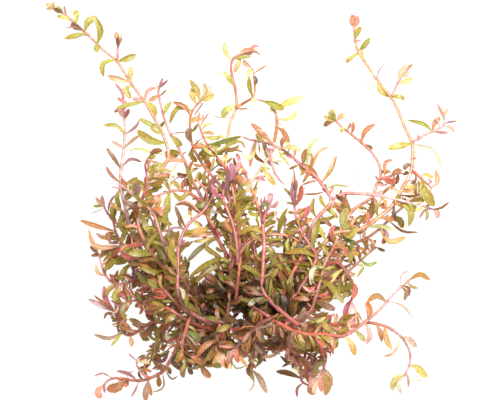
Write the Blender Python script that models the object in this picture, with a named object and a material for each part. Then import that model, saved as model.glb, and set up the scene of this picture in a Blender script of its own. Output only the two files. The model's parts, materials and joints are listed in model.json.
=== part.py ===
"""A lying bunch of rotala, a stem plant for aquariums.

Long four-angled stems lie over one another like the sticks of a nest. Narrow leaves stand on
them in opposite pairs, each pair turned a quarter from the one below. The bunch was cut and laid
down, so it rests on the ground with +Z up, and its length and breadth run along X and Y.
"""

import math
import random
from collections import namedtuple

import bmesh
import bpy
import numpy as np
from mathutils import Vector
from mathutils.bvhtree import BVHTree

# A rotala stem is about 2 mm thick and its leaves are 8 to 15 mm long. One span, the unit of the
# table below, is the size that gives them that, and the whole bunch then spreads about 20 cm.
SPAN = 0.0005
MM = 0.001
ORIGIN_U = 251.0
ORIGIN_V = 200.5

SAMPLE = 0.001
STEM_GAP = 0.0019
FORK_GAP = 0.00035
TIP_SHARE = 0.5
CORNER = 0.8
NODE_LENGTH = 0.0016
NODE_SPACING = 0.005
TIP_LENGTH = 0.012
TIP_SPACING = 0.0025
SMALL_LEAF = 0.000026
LEAF_THICK = 0.0006
LEAF_GAP = 0.0004
PAIR_SPACING = 0.013
TRIANGLES_AIM = 9900

BEND_ALLOWED = 0.00055

# The stems' colours, as a screen shows them.
STEM_COLOURS = {
    "salmon": (0.88, 0.56, 0.47),
    "pink": (0.90, 0.60, 0.60),
    "rose": (0.86, 0.47, 0.50),
    "coral": (0.85, 0.40, 0.38),
    "magenta": (0.80, 0.38, 0.50),
    "blush": (0.93, 0.74, 0.71),
    "rust": (0.66, 0.40, 0.28),
    "straw": (0.86, 0.74, 0.50),
}

# One stem: its name, its thickness at the foot (mm), its height above the ground at foot, middle
# and tip (mm), its colour, the stem it forks from, its route seen from above from foot to tip,
# and the leaves that have a known place: the points of the midrib from base to tip, the width of
# the blade and its colour. Routes, midribs and widths are in spans, SPAN metres each.
Stem = namedtuple("Stem", "name girth heights tone parent route leaves")

STEMS = (
    Stem("stem_far_left", 2.0, (30, 22, -4), "salmon", None,
         ((228, 318), (205, 308), (190, 295), (177, 281), (161, 264), (152, 252), (145, 240),
          (139, 225), (140, 210), (144, 196), (151, 184), (160, 172), (168, 161), (169, 152),
          (166, 142), (162, 131), (156, 121), (151, 112), (145, 102), (139, 94), (132, 84),
          (124, 72), (118, 62), (108, 54), (98, 45), (92, 39), (86, 33), (78, 26), (72, 21),
          (65, 14), (56, 10), (49, 6)),
         (
             (((63, 12), (54, 8)), 5, "brown"),
             (((63, 13), (57, 6)), 4, "lime"),
             (((66, 15), (64, 6)), 2, "brown"),
             (((52, 8), (46, 9)), 4, "peach"),
             (((52, 7), (46, 3)), 5, "yellow"),
             (((54, 9), (53, 1)), 3, "pink"),
             (((69, 20), (57, 16)), 4, "lime"),
             (((79, 23), (76, 10)), 6, "lime"),
             (((84, 31), (71, 24)), 6, "brown"),
             (((80, 27), (65, 28)), 3, "mauve"),
             (((85, 34), (65, 39)), 6, "olive"),
             (((87, 38), (73, 34)), 3, "brown"),
             (((85, 31), (88, 22), (97, 17)), 7, "olive"),
             (((99, 43), (101, 31), (96, 18)), 7, "olive"),
             (((98, 45), (97, 53)), 6, "olive"),
             (((119, 60), (136, 55)), 7, "olive"),
             (((116, 62), (104, 64), (104, 77)), 6, "lime"),
             (((130, 84), (120, 80), (108, 76)), 7, "peach"),
             (((133, 83), (131, 67)), 5, "yellow"),
             (((133, 86), (126, 89), (131, 99)), 6, "olive"),
             (((144, 101), (133, 100)), 6, "pink"),
             (((144, 103), (132, 105), (117, 109)), 6, "lime"),
             (((145, 101), (148, 92), (157, 88)), 5, "peach"),
             (((148, 100), (154, 108), (154, 119)), 6, "lime"),
             (((162, 134), (151, 126)), 8, "olive"),
             (((158, 123), (140, 119)), 3, "pale"),
             (((165, 144), (152, 141), (138, 131)), 8, "olive"),
             (((168, 162), (160, 166), (150, 174)), 8, "olive"),
             (((168, 163), (176, 160), (186, 162)), 5, "peach"),
             (((169, 155), (152, 153), (140, 149), (129, 152)), 2, "pale"),
             (((139, 212), (145, 222), (150, 234)), 7, "olive"),
             (((138, 228), (152, 232), (164, 241)), 7, "olive"),
             (((145, 240), (158, 246), (166, 262)), 8, "olive"),
         )),
    Stem("shoot_far_left_bud", 1.2, (6, 7, 8), "pink", "stem_far_left",
         ((118, 60), (118, 55), (118, 49), (119, 43), (118, 37), (117, 33)),
         (
             (((118, 49), (119, 38)), 5, "brown"),
             (((119, 42), (116, 32)), 5, "peach"),
             (((119, 43), (124, 32)), 2, "pale"),
             (((119, 46), (122, 38)), 3, "rust"),
         )),
    Stem("stem_left_pink", 2.0, (40, 30, 1), "rose", None,
         ((236, 312), (226, 300), (219, 288), (221, 277), (225, 266), (227, 255), (221, 244),
          (215, 233), (210, 222), (206, 210), (203, 200), (198, 190), (193, 181), (189, 172),
          (185, 161), (182, 155), (178, 146), (173, 138), (169, 130), (165, 120), (162, 110),
          (160, 100), (158, 92), (160, 85)),
         (
             (((159, 90), (163, 78)), 3, "mauve"),
             (((160, 88), (168, 80)), 3, "mauve"),
             (((158, 92), (156, 80)), 2, "peach"),
             (((160, 97), (167, 90)), 2, "brown"),
             (((161, 98), (178, 88)), 1.5, "pale"),
             (((158, 96), (149, 101)), 5, "rust"),
             (((162, 116), (172, 102)), 7, "lime"),
             (((171, 134), (187, 132)), 1.5, "rust"),
             (((171, 137), (182, 146)), 7, "olive"),
             (((186, 163), (190, 175), (192, 186)), 6, "olive"),
             (((210, 222), (205, 232), (206, 242)), 6, "olive"),
             (((212, 236), (200, 235), (188, 236)), 4, "rust"),
             (((212, 238), (205, 240), (194, 241)), 5, "yellow"),
             (((216, 238), (200, 248), (187, 262)), 7, "pale"),
             (((214, 236), (206, 246), (222, 257)), 6, "olive"),
             (((222, 246), (228, 240), (222, 228), (212, 216)), 6, "olive"),
             (((227, 256), (210, 262), (191, 275)), 7, "olive"),
             (((225, 262), (208, 270), (196, 282)), 7, "olive"),
             (((228, 257), (240, 266), (248, 274)), 8, "olive"),
             (((222, 262), (216, 261), (211, 264)), 4, "black"),
             (((229, 254), (233, 257), (238, 260)), 9, "black"),
             (((230, 253), (238, 254), (246, 249)), 7, "olive"),
         )),
    Stem("shoot_yellow", 1.9, (46, 36, 1), "salmon", None,
         ((250, 304), (254, 288), (256, 272), (256, 256), (252, 240), (244, 225), (236, 213),
          (229, 200), (222, 188), (215, 179), (206, 169), (199, 158), (193, 147), (191, 136),
          (190, 122), (192, 112), (197, 105), (200, 101)),
         (
             (((200, 101), (197, 90), (190, 80)), 6, "yellow"),
             (((197, 106), (193, 97), (195, 86)), 7, "yellow"),
             (((200, 101), (208, 98), (214, 94)), 6, "yellow"),
             (((201, 101), (205, 92), (204, 82)), 5, "yellow"),
             (((203, 100), (209, 94), (210, 86)), 4, "peach"),
             (((197, 104), (203, 103), (194, 116)), 2, "brown"),
             (((190, 116), (184, 106), (173, 102)), 5, "rust"),
             (((192, 111), (184, 106), (176, 107)), 4, "yellow"),
             (((188, 110), (178, 109), (170, 124)), 6, "olive"),
             (((192, 143), (189, 135), (191, 128)), 7, "brown"),
             (((193, 133), (199, 124)), 4, "olive"),
             (((194, 149), (192, 156), (197, 162)), 7, "olive"),
             (((200, 158), (207, 160), (211, 170)), 7, "rust"),
             (((206, 169), (204, 178), (206, 184)), 5, "olive"),
             (((217, 180), (212, 186), (212, 198)), 8, "mauve"),
         )),
    Stem("stem_red_mid_left", 1.8, (48, 42, 24), "coral", None,
         ((236, 298), (238, 280), (240, 262), (240, 244), (238, 226), (236, 210), (234, 196),
          (231, 182), (226, 169), (220, 161), (214, 153), (208, 146), (203, 136), (200, 127)),
         (
             (((200, 127), (198, 120), (200, 112)), 6, "mauve"),
             (((202, 127), (204, 121), (203, 115)), 4, "peach"),
             (((203, 127), (209, 113)), 2, "brown"),
             (((204, 129), (208, 125), (213, 126)), 6, "olive"),
             (((204, 133), (209, 133), (214, 135)), 7, "rust"),
             (((206, 137), (214, 139), (221, 137)), 7, "lime"),
             (((212, 143), (226, 141), (242, 137)), 9, "olive"),
             (((213, 144), (216, 147), (221, 145)), 7, "lime"),
             (((230, 143), (238, 140), (246, 149)), 8, "lime"),
             (((217, 151), (230, 149), (243, 153)), 6, "olive"),
             (((212, 150), (206, 150), (202, 152)), 8, "brown"),
             (((209, 150), (205, 155), (202, 161)), 6, "olive"),
             (((201, 139), (194, 146), (188, 157)), 3, "brown"),
             (((226, 166), (218, 166), (211, 172)), 2, "black"),
             (((231, 184), (236, 177), (236, 167)), 8, "mauve"),
             (((228, 178), (225, 186), (222, 192)), 7, "mauve"),
         )),
    Stem("stem_magenta", 2.1, (52, 50, 40), "magenta", None,
         ((232, 322), (218, 320), (205, 318), (195, 313), (187, 306), (181, 297), (178, 284),
          (179, 275), (179, 262), (179, 247), (182, 238), (186, 228), (193, 220), (201, 214),
          (207, 207), (212, 199), (215, 191)),
         (
             (((214, 196), (212, 186), (217, 175)), 8, "mauve"),
             (((213, 200), (218, 190), (224, 183)), 5, "pink"),
             (((199, 213), (187, 204), (176, 205)), 5, "brown"),
             (((186, 227), (180, 216), (176, 206)), 5, "brown"),
             (((199, 215), (190, 216), (181, 217)), 3, "pale"),
             (((200, 211), (190, 203), (178, 201)), 3, "pink"),
             (((193, 221), (201, 227)), 4, "yellow"),
             (((184, 229), (176, 227), (165, 232)), 3, "mauve"),
             (((180, 247), (186, 239)), 3, "mauve"),
             (((178, 268), (172, 253), (174, 239)), 9, "olive"),
             (((178, 246), (174, 236)), 3, "brown"),
             (((179, 264), (185, 275), (191, 281)), 3, "brown"),
             (((180, 285), (184, 290), (185, 298)), 5, "pale"),
             (((182, 298), (189, 302), (197, 309)), 5, "olive"),
             (((205, 320), (212, 316), (218, 318)), 5, "lime"),
         )),
    Stem("stem_pale_left", 2.3, (26, 14, 0), "blush", None,
         ((206, 312), (186, 300), (170, 285), (158, 272), (146, 258), (139, 244), (134, 232),
          (129, 220), (126, 208), (123, 196), (121, 186), (121, 176), (122, 163), (124, 150),
          (125, 136), (125, 122), (124, 112), (121, 106)),
         (
             (((125, 118), (119, 108)), 5, "peach"),
             (((126, 118), (129, 109)), 5, "magenta"),
             (((124, 112), (126, 104), (117, 98)), 5, "pink"),
             (((122, 108), (114, 112)), 3, "mauve"),
             (((126, 109), (123, 94), (115, 83)), 3, "pink"),
             (((124, 135), (117, 126), (104, 125)), 4, "lime"),
             (((127, 135), (136, 127), (140, 119)), 3, "mauve"),
             (((122, 147), (112, 141)), 3, "pink"),
             (((130, 149), (134, 139), (142, 134)), 4, "peach"),
             (((121, 169), (114, 158), (107, 148)), 4, "brown"),
             (((122, 168), (131, 159), (142, 162)), 3, "mauve"),
             (((119, 184), (113, 175), (107, 166)), 5, "peach"),
             (((121, 178), (125, 183), (128, 191)), 5, "rust"),
             (((119, 188), (117, 198), (121, 209)), 6, "olive"),
             (((127, 213), (121, 220), (126, 230)), 7, "olive"),
             (((133, 226), (126, 232), (122, 242)), 6, "olive"),
         )),
    Stem("stem_left_inner", 2.0, (34, 36, 30), "salmon", None,
         ((190, 290), (178, 270), (167, 250), (160, 230), (155, 214), (148, 207), (141, 200),
          (133, 194), (126, 188), (119, 184)),
         (
             (((147, 182), (138, 179), (129, 183)), 5, "olive"),
             (((131, 192), (129, 185), (142, 185)), 4, "pale"),
             (((135, 195), (141, 184)), 8, "mauve"),
             (((131, 196), (140, 199), (150, 206)), 7, "olive"),
             (((152, 205), (160, 210), (163, 216)), 6, "rust"),
             (((156, 220), (164, 221), (173, 225)), 6, "olive"),
             (((155, 216), (158, 210), (164, 207)), 4, "pink"),
             (((160, 232), (152, 240), (147, 252)), 7, "olive"),
         )),
    Stem("shoot_left_hook", 1.4, (6, 9, 10), "magenta", "stem_far_left",
         ((144, 197), (147, 188), (148, 178), (146, 168), (146, 162), (150, 157)),
         (
             (((150, 157), (155, 152), (163, 151)), 7, "brown"),
             (((149, 159), (157, 156)), 6, "olive"),
             (((148, 161), (160, 163)), 3, "peach"),
             (((146, 165), (150, 160), (148, 172)), 4, "rust"),
         )),
    Stem("stem_left_tip", 1.6, (16, 11, -3), "magenta", None,
         ((176, 296), (166, 280), (158, 262), (148, 248), (140, 238), (132, 232), (127, 229),
          (119, 225), (113, 219), (107, 213), (104, 206)),
         (
             (((104, 207), (102, 195)), 5, "pink"),
             (((103, 208), (96, 197)), 5, "peach"),
             (((103, 208), (90, 214)), 2, "pale"),
             (((103, 207), (93, 206)), 3, "olive"),
             (((108, 213), (110, 203), (115, 195)), 3, "mauve"),
             (((113, 219), (112, 210), (115, 203)), 5, "lime"),
             (((121, 226), (124, 218), (121, 211)), 6, "olive"),
             (((148, 247), (143, 256), (141, 268)), 6, "olive"),
         )),
    Stem("stem_left_spread", 1.8, (10, 8, -3), "salmon", None,
         ((182, 306), (166, 300), (150, 288), (138, 270), (130, 254), (121, 242), (115, 230),
          (113, 218)),
         (
             (((114, 232), (97, 226), (80, 220)), 5, "rust"),
             (((114, 224), (112, 214), (113, 204)), 5, "lime"),
             (((113, 236), (104, 238), (96, 233)), 4, "mauve"),
             (((119, 249), (96, 246), (89, 229)), 5, "peach"),
             (((116, 246), (110, 242), (109, 231)), 4, "pink"),
             (((120, 250), (110, 254), (103, 262)), 4, "olive"),
             (((127, 258), (113, 262), (105, 270)), 6, "olive"),
             (((130, 254), (131, 245), (128, 236)), 6, "rust"),
             (((134, 264), (126, 268), (123, 280)), 7, "lime"),
             (((140, 274), (134, 268), (134, 262)), 6, "mauve"),
         )),
    Stem("stem_left_hook_low", 1.9, (20, 12, -4), "coral", None,
         ((188, 312), (172, 300), (160, 291), (153, 287), (146, 281), (139, 277), (130, 282),
          (122, 284), (116, 284), (110, 281), (104, 272), (101, 262), (98, 253)),
         (
             (((99, 254), (90, 246)), 4, "mauve"),
             (((99, 255), (91, 256)), 4, "brown"),
             (((99, 253), (96, 243)), 4, "peach"),
             (((100, 254), (108, 252)), 3, "olive"),
             (((105, 276), (98, 273), (96, 264)), 4, "peach"),
             (((104, 270), (110, 266), (112, 258)), 6, "olive"),
             (((110, 281), (116, 277), (118, 270)), 6, "rust"),
             (((115, 285), (109, 288), (107, 296)), 5, "lime"),
             (((124, 284), (122, 276), (126, 268)), 7, "lime"),
             (((131, 281), (135, 275), (134, 268)), 6, "mauve"),
             (((146, 281), (157, 284), (165, 290)), 6, "rust"),
         )),
    Stem("stem_left_lilac", 2.1, (30, 15, -1), "coral", None,
         ((206, 330), (190, 328), (172, 324), (158, 321), (150, 323), (140, 330), (131, 335),
          (124, 334), (121, 328), (118, 320), (115, 312)),
         (
             (((113, 312), (105, 300), (104, 286)), 8, "magenta"),
             (((112, 311), (99, 304), (88, 299)), 5, "mauve"),
             (((116, 313), (117, 301), (121, 291)), 6, "lilac"),
             (((117, 318), (119, 334)), 3, "mauve"),
             (((114, 315), (107, 313), (104, 319)), 3, "mauve"),
             (((108, 305), (100, 300), (94, 295)), 3, "rust"),
             (((122, 333), (110, 338), (94, 334)), 5, "peach"),
             (((119, 336), (111, 346)), 3, "pale"),
             (((131, 335), (132, 346)), 5, "peach"),
             (((124, 330), (126, 325), (130, 334)), 6, "pale"),
             (((118, 320), (123, 315), (122, 303)), 6, "mauve"),
             (((150, 323), (140, 324), (131, 320)), 5, "pink"),
             (((150, 323), (158, 332), (157, 343)), 7, "olive"),
             (((141, 330), (144, 338), (150, 339)), 5, "olive"),
             (((160, 321), (168, 322), (166, 310)), 8, "lime"),
         )),
    Stem("stem_bottom_left_long", 2.1, (40, 20, -4), "salmon", None,
         ((172, 298), (178, 310), (183, 322), (181, 332), (179, 340), (177, 347), (173, 356),
          (168, 364), (163, 371), (156, 375), (149, 378), (143, 380), (133, 380), (121, 378),
          (112, 378), (106, 382), (102, 388)),
         (
             (((103, 386), (99, 391), (100, 399)), 7, "peach"),
             (((104, 385), (105, 393)), 3, "mauve"),
             (((121, 381), (114, 387), (107, 388)), 8, "brown"),
             (((117, 379), (127, 386)), 5, "coral"),
             (((112, 378), (103, 373), (94, 376)), 2, "mauve"),
             (((138, 378), (129, 373), (117, 370)), 4, "pink"),
             (((139, 381), (136, 388), (131, 397)), 3, "mauve"),
             (((149, 379), (147, 388), (146, 400)), 7, "mauve"),
             (((149, 381), (152, 395)), 4, "rust"),
             (((164, 372), (164, 386), (153, 391)), 3, "brown"),
             (((159, 376), (160, 386)), 6, "brown"),
             (((165, 368), (172, 378), (178, 375)), 2, "mauve"),
             (((129, 380), (127, 373), (134, 371)), 4, "peach"),
             (((174, 352), (180, 347), (186, 344)), 6, "lime"),
             (((176, 346), (170, 338), (167, 331)), 7, "pale"),
             (((173, 356), (181, 360), (183, 368)), 8, "black"),
             (((170, 362), (178, 366), (186, 371)), 7, "black"),
         )),
    Stem("stem_orange_low", 1.9, (50, 44, 14), "salmon", None,
         ((205, 303), (196, 310), (190, 318), (187, 328), (184, 337), (183, 345), (184, 353),
          (188, 360), (195, 363), (204, 363), (212, 361)),
         (
             (((201, 364), (205, 370), (211, 376)), 7, "rust"),
             (((186, 356), (193, 358)), 7, "lime"),
             (((190, 362), (190, 366), (196, 367)), 7, "black"),
             (((188, 361), (184, 368), (184, 376)), 6, "brown"),
             (((193, 363), (190, 368), (193, 373)), 5, "brown"),
             (((184, 350), (176, 354), (172, 362)), 8, "black"),
             (((187, 330), (196, 333), (200, 340)), 8, "green"),
             (((184, 343), (194, 342), (201, 343)), 6, "pink"),
         )),
    Stem("shoot_low_left", 1.5, (14, 10, 6), "salmon", None,
         ((176, 346), (168, 341), (160, 341), (155, 345), (152, 350), (151, 356), (153, 361)),
         (
             (((152, 357), (146, 357), (139, 360)), 3, "rust"),
             (((153, 357), (162, 355), (168, 350)), 5, "olive"),
             (((153, 361), (163, 361), (169, 349)), 5, "mauve"),
             (((153, 348), (146, 351)), 3, "olive"),
             (((158, 342), (152, 337), (147, 331)), 4, "olive"),
             (((152, 360), (157, 365), (163, 367)), 5, "olive"),
             (((166, 341), (160, 336), (154, 324)), 7, "olive"),
         )),
    Stem("shoot_low_left_tip", 1.3, (5, 6, 6), "pink", "stem_bottom_left_long",
         ((148, 377), (142, 372), (138, 366), (136, 361), (139, 357)),
         (
             (((136, 361), (129, 353)), 2, "mauve"),
             (((137, 363), (144, 361), (151, 363)), 4, "yellow"),
             (((140, 371), (146, 369), (152, 371)), 4, "rust"),
             (((139, 357), (146, 354)), 3, "brown"),
             (((138, 366), (144, 370)), 2, "mauve"),
         )),
    Stem("stem_top_centre", 2.0, (30, 38, 0), "rose", None,
         ((224, 330), (228, 310), (230, 290), (231, 270), (231, 250), (231, 230), (231, 210),
          (229, 192), (227, 175), (226, 160), (227, 148), (228, 138), (229, 130), (231, 122),
          (234, 115), (237, 107), (236, 96), (235, 87), (232, 76), (231, 67), (232, 60),
          (237, 56), (243, 54), (250, 52)),
         (
             (((238, 55), (245, 50), (255, 50)), 6, "peach"),
             (((240, 55), (248, 54), (253, 51)), 5, "rust"),
             (((250, 51), (253, 47), (259, 47)), 4, "pink"),
             (((252, 52), (256, 52), (260, 55)), 2, "brown"),
             (((232, 60), (240, 58), (251, 57)), 4, "olive"),
             (((230, 61), (225, 53), (225, 42)), 5, "yellow"),
             (((235, 60), (240, 60), (234, 73)), 5, "yellow"),
             (((234, 88), (230, 80), (224, 73)), 5, "olive"),
             (((231, 74), (224, 74), (218, 76)), 3, "pale"),
             (((235, 89), (245, 88)), 1.5, "pale"),
             (((235, 106), (228, 108), (222, 117)), 9, "lime"),
             (((230, 116), (221, 118), (212, 116)), 2, "pale"),
             (((238, 110), (248, 109)), 2, "rust"),
             (((228, 148), (222, 152), (216, 152)), 5, "olive"),
         )),
    Stem("shoot_arch_left", 1.5, (8, 11, 9), "rust", "stem_top_centre",
         ((237, 108), (243, 104), (249, 101), (254, 97), (255, 89), (254, 80), (254, 73),
          (252, 69)),
         (
             (((252, 98), (250, 89), (249, 78)), 5, "olive"),
             (((255, 87), (256, 82), (254, 77)), 5, "brown"),
             (((253, 70), (249, 72), (248, 78)), 5, "yellow"),
             (((254, 75), (260, 70), (267, 66)), 2, "rust"),
             (((253, 69), (248, 66), (243, 61)), 6, "pink"),
             (((254, 99), (255, 106)), 4, "yellow"),
         )),
    Stem("shoot_arch_right", 1.6, (6, 10, 9), "rust", "stem_centre_long",
         ((274, 143), (276, 132), (277, 122), (275, 112), (271, 107), (264, 102), (256, 100)),
         (
             (((275, 109), (289, 103), (304, 98)), 7, "yellow"),
             (((261, 102), (274, 105), (284, 110)), 8, "lime"),
             (((277, 120), (291, 119), (297, 110)), 4, "yellow"),
             (((276, 127), (283, 132), (289, 143)), 5, "rust"),
             (((278, 123), (282, 127), (285, 134)), 2, "peach"),
             (((275, 134), (265, 132), (256, 130)), 1.5, "pale"),
             (((272, 108), (271, 114)), 3, "lime"),
         )),
    Stem("stem_centre_long", 2.0, (34, 32, 8), "salmon", None,
         ((280, 300), (286, 286), (292, 272), (300, 258), (304, 246), (308, 234), (313, 223),
          (319, 215), (326, 208), (331, 201), (328, 194), (323, 187), (316, 177), (306, 169),
          (296, 161), (286, 152), (274, 146), (262, 142), (250, 140), (243, 137)),
         (
             (((274, 146), (262, 135), (251, 124)), 7, "rust"),
             (((266, 143), (260, 139), (256, 134)), 6, "yellow"),
             (((280, 149), (290, 148), (301, 151)), 6, "yellow"),
             (((276, 149), (281, 156), (289, 166)), 5, "lime"),
             (((276, 149), (271, 150), (265, 149)), 3, "mauve"),
             (((281, 150), (282, 142), (286, 137)), 5, "rust"),
             (((255, 142), (255, 151), (249, 159), (241, 154)), 4, "yellow"),
             (((256, 142), (255, 155), (265, 163)), 5, "rust"),
             (((258, 143), (262, 154), (270, 157)), 6, "pink"),
             (((262, 143), (267, 158), (273, 167)), 7, "mauve"),
             (((264, 143), (271, 158), (279, 165)), 5, "pale"),
             (((268, 145), (273, 168), (281, 182)), 3, "peach"),
             (((255, 144), (251, 158), (250, 167)), 4, "pink"),
             (((303, 167), (304, 155), (308, 149)), 6, "rust"),
             (((306, 168), (310, 144), (320, 137)), 3, "pale"),
             (((309, 171), (311, 158), (308, 152)), 5, "rust"),
             (((303, 167), (299, 166), (304, 174)), 6, "olive"),
             (((310, 172), (317, 154), (328, 147)), 3, "brown"),
             (((300, 164), (307, 169), (312, 177)), 7, "rust"),
             (((318, 180), (310, 182), (302, 185)), 3, "rust"),
             (((326, 192), (314, 194), (303, 194)), 4, "brown"),
             (((326, 190), (333, 186), (348, 187)), 4, "olive"),
             (((320, 184), (330, 171), (336, 156)), 5, "yellow"),
             (((327, 207), (331, 211), (337, 218)), 5, "lime"),
             (((325, 208), (321, 201), (320, 195)), 5, "lime"),
             (((319, 214), (323, 219), (331, 226)), 5, "brown"),
             (((311, 228), (303, 220), (300, 222)), 3, "rust"),
         )),
    Stem("stem_centre_pale", 1.9, (36, 30, 26), "straw", None,
         ((240, 302), (238, 284), (236, 268), (234, 252), (233, 236), (234, 220), (238, 206),
          (243, 196), (247, 190), (252, 182), (256, 176), (261, 168), (266, 162), (271, 154),
          (274, 150)),
         (
             (((262, 168), (268, 176), (275, 185)), 7, "yellow"),
             (((243, 195), (250, 199), (257, 206)), 3, "rust"),
             (((236, 212), (244, 206), (252, 205)), 7, "lime"),
         )),
    Stem("stem_centre_salmon", 2.3, (54, 56, 34), "salmon", None,
         ((298, 323), (290, 317), (280, 309), (270, 299), (263, 290), (262, 280), (263, 268),
          (263, 258), (264, 250), (264, 240), (263, 230), (262, 220), (260, 212), (257, 204),
          (254, 195), (250, 186), (247, 178), (243, 170), (240, 163)),
         (
             (((240, 165), (239, 160), (237, 154)), 5, "mauve"),
             (((241, 168), (236, 166), (234, 158)), 4, "brown"),
             (((243, 172), (238, 178), (244, 184)), 6, "rust"),
             (((246, 177), (246, 172), (241, 172)), 4, "pink"),
             (((254, 196), (260, 208), (264, 216)), 3, "rust"),
             (((260, 213), (256, 218), (259, 226)), 4, "olive"),
             (((263, 234), (252, 228), (238, 234)), 8, "olive"),
             (((264, 240), (256, 236), (250, 230)), 5, "olive"),
             (((264, 238), (272, 240), (282, 239)), 6, "olive"),
             (((264, 252), (269, 248), (274, 256)), 8, "olive"),
             (((263, 268), (272, 262), (268, 252)), 5, "green"),
             (((263, 276), (252, 268), (242, 265)), 6, "olive"),
         )),
    Stem("shoot_purple_tip", 1.5, (5, 7, 8), "magenta", "stem_centre_salmon",
         ((263, 222), (265, 214), (268, 208), (271, 204)),
         (
             (((269, 208), (268, 200), (271, 193)), 8, "mauve"),
             (((270, 208), (275, 205), (278, 200)), 5, "magenta"),
             (((266, 213), (262, 206), (261, 198)), 3, "mauve"),
             (((265, 220), (274, 216), (273, 209)), 4, "pale"),
             (((267, 210), (267, 204), (261, 205)), 4, "green"),
         )),
    Stem("stem_purple_cluster", 1.9, (46, 46, 40), "magenta", None,
         ((284, 306), (294, 294), (304, 280), (312, 266), (316, 256), (313, 250), (309, 244),
          (304, 237), (300, 230), (297, 222), (295, 215), (294, 207), (294, 200)),
         (
             (((294, 208), (292, 193), (297, 180)), 10, "mauve"),
             (((295, 206), (300, 197), (301, 185)), 7, "pink"),
             (((294, 190), (294, 177), (291, 166)), 3, "rust"),
             (((297, 218), (303, 213), (309, 205)), 7, "mauve"),
             (((296, 200), (301, 192), (305, 187)), 4, "peach"),
             (((300, 231), (303, 229), (303, 224)), 5, "pink"),
             (((299, 230), (291, 233), (284, 230)), 6, "olive"),
             (((298, 226), (305, 222), (306, 214)), 4, "rust"),
             (((309, 244), (300, 246), (292, 249)), 8, "black"),
             (((312, 249), (313, 238), (318, 220)), 8, "olive"),
             (((316, 257), (302, 250), (284, 252)), 7, "olive"),
             (((313, 262), (290, 260), (274, 263)), 8, "mauve"),
         )),
    Stem("stem_right_arm", 1.6, (14, 16, 8), "blush", "stem_centre_long",
         ((332, 199), (339, 195), (347, 193), (358, 194), (368, 194), (380, 196), (392, 199),
          (402, 201), (412, 204), (422, 206), (431, 209)),
         (
             (((431, 209), (436, 212), (436, 218)), 6, "pink"),
             (((433, 209), (440, 208), (448, 202)), 3, "brown"),
             (((430, 210), (423, 210), (418, 218)), 3, "mauve"),
             (((424, 208), (426, 216), (424, 220)), 4, "olive"),
             (((422, 206), (418, 210), (414, 209)), 4, "yellow"),
             (((339, 195), (344, 200), (347, 207)), 8, "olive"),
             (((347, 193), (341, 200), (335, 194)), 5, "brown"),
             (((333, 200), (336, 206), (338, 213)), 4, "coral"),
         )),
    Stem("stem_top_right", 2.2, (44, 30, -3), "salmon", None,
         ((266, 292), (274, 289), (284, 283), (293, 276), (300, 266), (306, 259), (315, 253),
          (323, 244), (331, 234), (341, 231), (350, 231), (360, 229), (370, 223), (380, 215),
          (389, 208), (396, 199), (401, 189), (406, 180), (410, 172), (411, 163), (412, 152),
          (411, 143), (405, 130), (401, 120), (397, 110), (391, 98), (383, 88), (376, 79),
          (370, 70), (364, 61), (359, 54), (356, 46), (355, 38), (354, 29), (354, 22)),
         (
             (((353, 27), (350, 20), (354, 14)), 8, "rust"),
             (((354, 27), (360, 22), (357, 15)), 7, "rust"),
             (((354, 25), (355, 20), (351, 14)), 5, "coral"),
             (((356, 40), (357, 34), (361, 27)), 6, "olive"),
             (((356, 42), (362, 40)), 2, "mauve"),
             (((361, 51), (364, 46), (370, 38)), 5, "olive"),
             (((358, 54), (352, 57), (346, 63)), 5, "lime"),
             (((364, 61), (361, 56), (361, 50)), 5, "yellow"),
             (((375, 82), (368, 85), (364, 98)), 4, "pale"),
             (((375, 81), (379, 91), (388, 98)), 7, "yellow"),
             (((392, 97), (398, 97), (404, 100)), 5, "olive"),
             (((375, 80), (379, 70), (385, 64)), 1.5, "mauve"),
             (((411, 144), (400, 146), (387, 149)), 7, "olive"),
             (((414, 144), (430, 150), (440, 167)), 5, "pale"),
             (((410, 167), (406, 165), (403, 170)), 5, "brown"),
             (((411, 160), (416, 158)), 2, "rust"),
             (((404, 184), (408, 187), (413, 186)), 5, "yellow"),
             (((402, 188), (397, 192), (392, 187)), 7, "pale"),
             (((400, 196), (410, 196), (418, 194)), 4, "brown"),
             (((396, 200), (408, 210), (408, 226)), 9, "olive"),
             (((395, 204), (392, 212), (395, 222)), 9, "black"),
             (((388, 208), (379, 206), (384, 203)), 6, "rust"),
             (((373, 221), (367, 224), (367, 212)), 5, "coral"),
             (((362, 228), (378, 225), (398, 231)), 6, "lime"),
             (((358, 229), (356, 222), (353, 225)), 5, "brown"),
             (((350, 231), (342, 222), (346, 208)), 10, "olive"),
             (((341, 231), (349, 236), (354, 226)), 9, "olive"),
             (((331, 235), (335, 242), (326, 252)), 7, "olive"),
             (((306, 260), (288, 262), (268, 268)), 6, "rust"),
         )),
    Stem("shoot_top_right_bud", 1.3, (7, 8, 9), "rose", "stem_top_right",
         ((392, 96), (394, 90), (397, 84), (401, 77), (404, 72)),
         (
             (((399, 83), (400, 74), (405, 67)), 6, "peach"),
             (((401, 78), (406, 70), (412, 65)), 4, "rust"),
             (((399, 84), (405, 82), (412, 79)), 5, "yellow"),
             (((400, 79), (401, 71), (405, 64)), 3, "pink"),
             (((402, 77), (406, 76), (408, 72)), 4, "peach"),
         )),
    Stem("shoot_right_side", 1.4, (8, 9, 9), "rose", "stem_top_right",
         ((412, 142), (418, 139), (424, 135), (431, 132), (437, 129), (443, 126), (443, 118),
          (442, 112)),
         (
             (((430, 131), (421, 123), (406, 120)), 6, "lime"),
             (((431, 132), (433, 124), (439, 118)), 5, "rust"),
             (((432, 132), (439, 133), (447, 133)), 3, "mauve"),
             (((444, 126), (449, 128), (453, 133)), 4, "peach"),
             (((442, 120), (440, 112), (436, 104)), 4, "pink"),
             (((443, 119), (444, 113), (447, 109)), 4, "peach"),
             (((444, 124), (449, 122), (456, 121)), 3, "mauve"),
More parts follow.
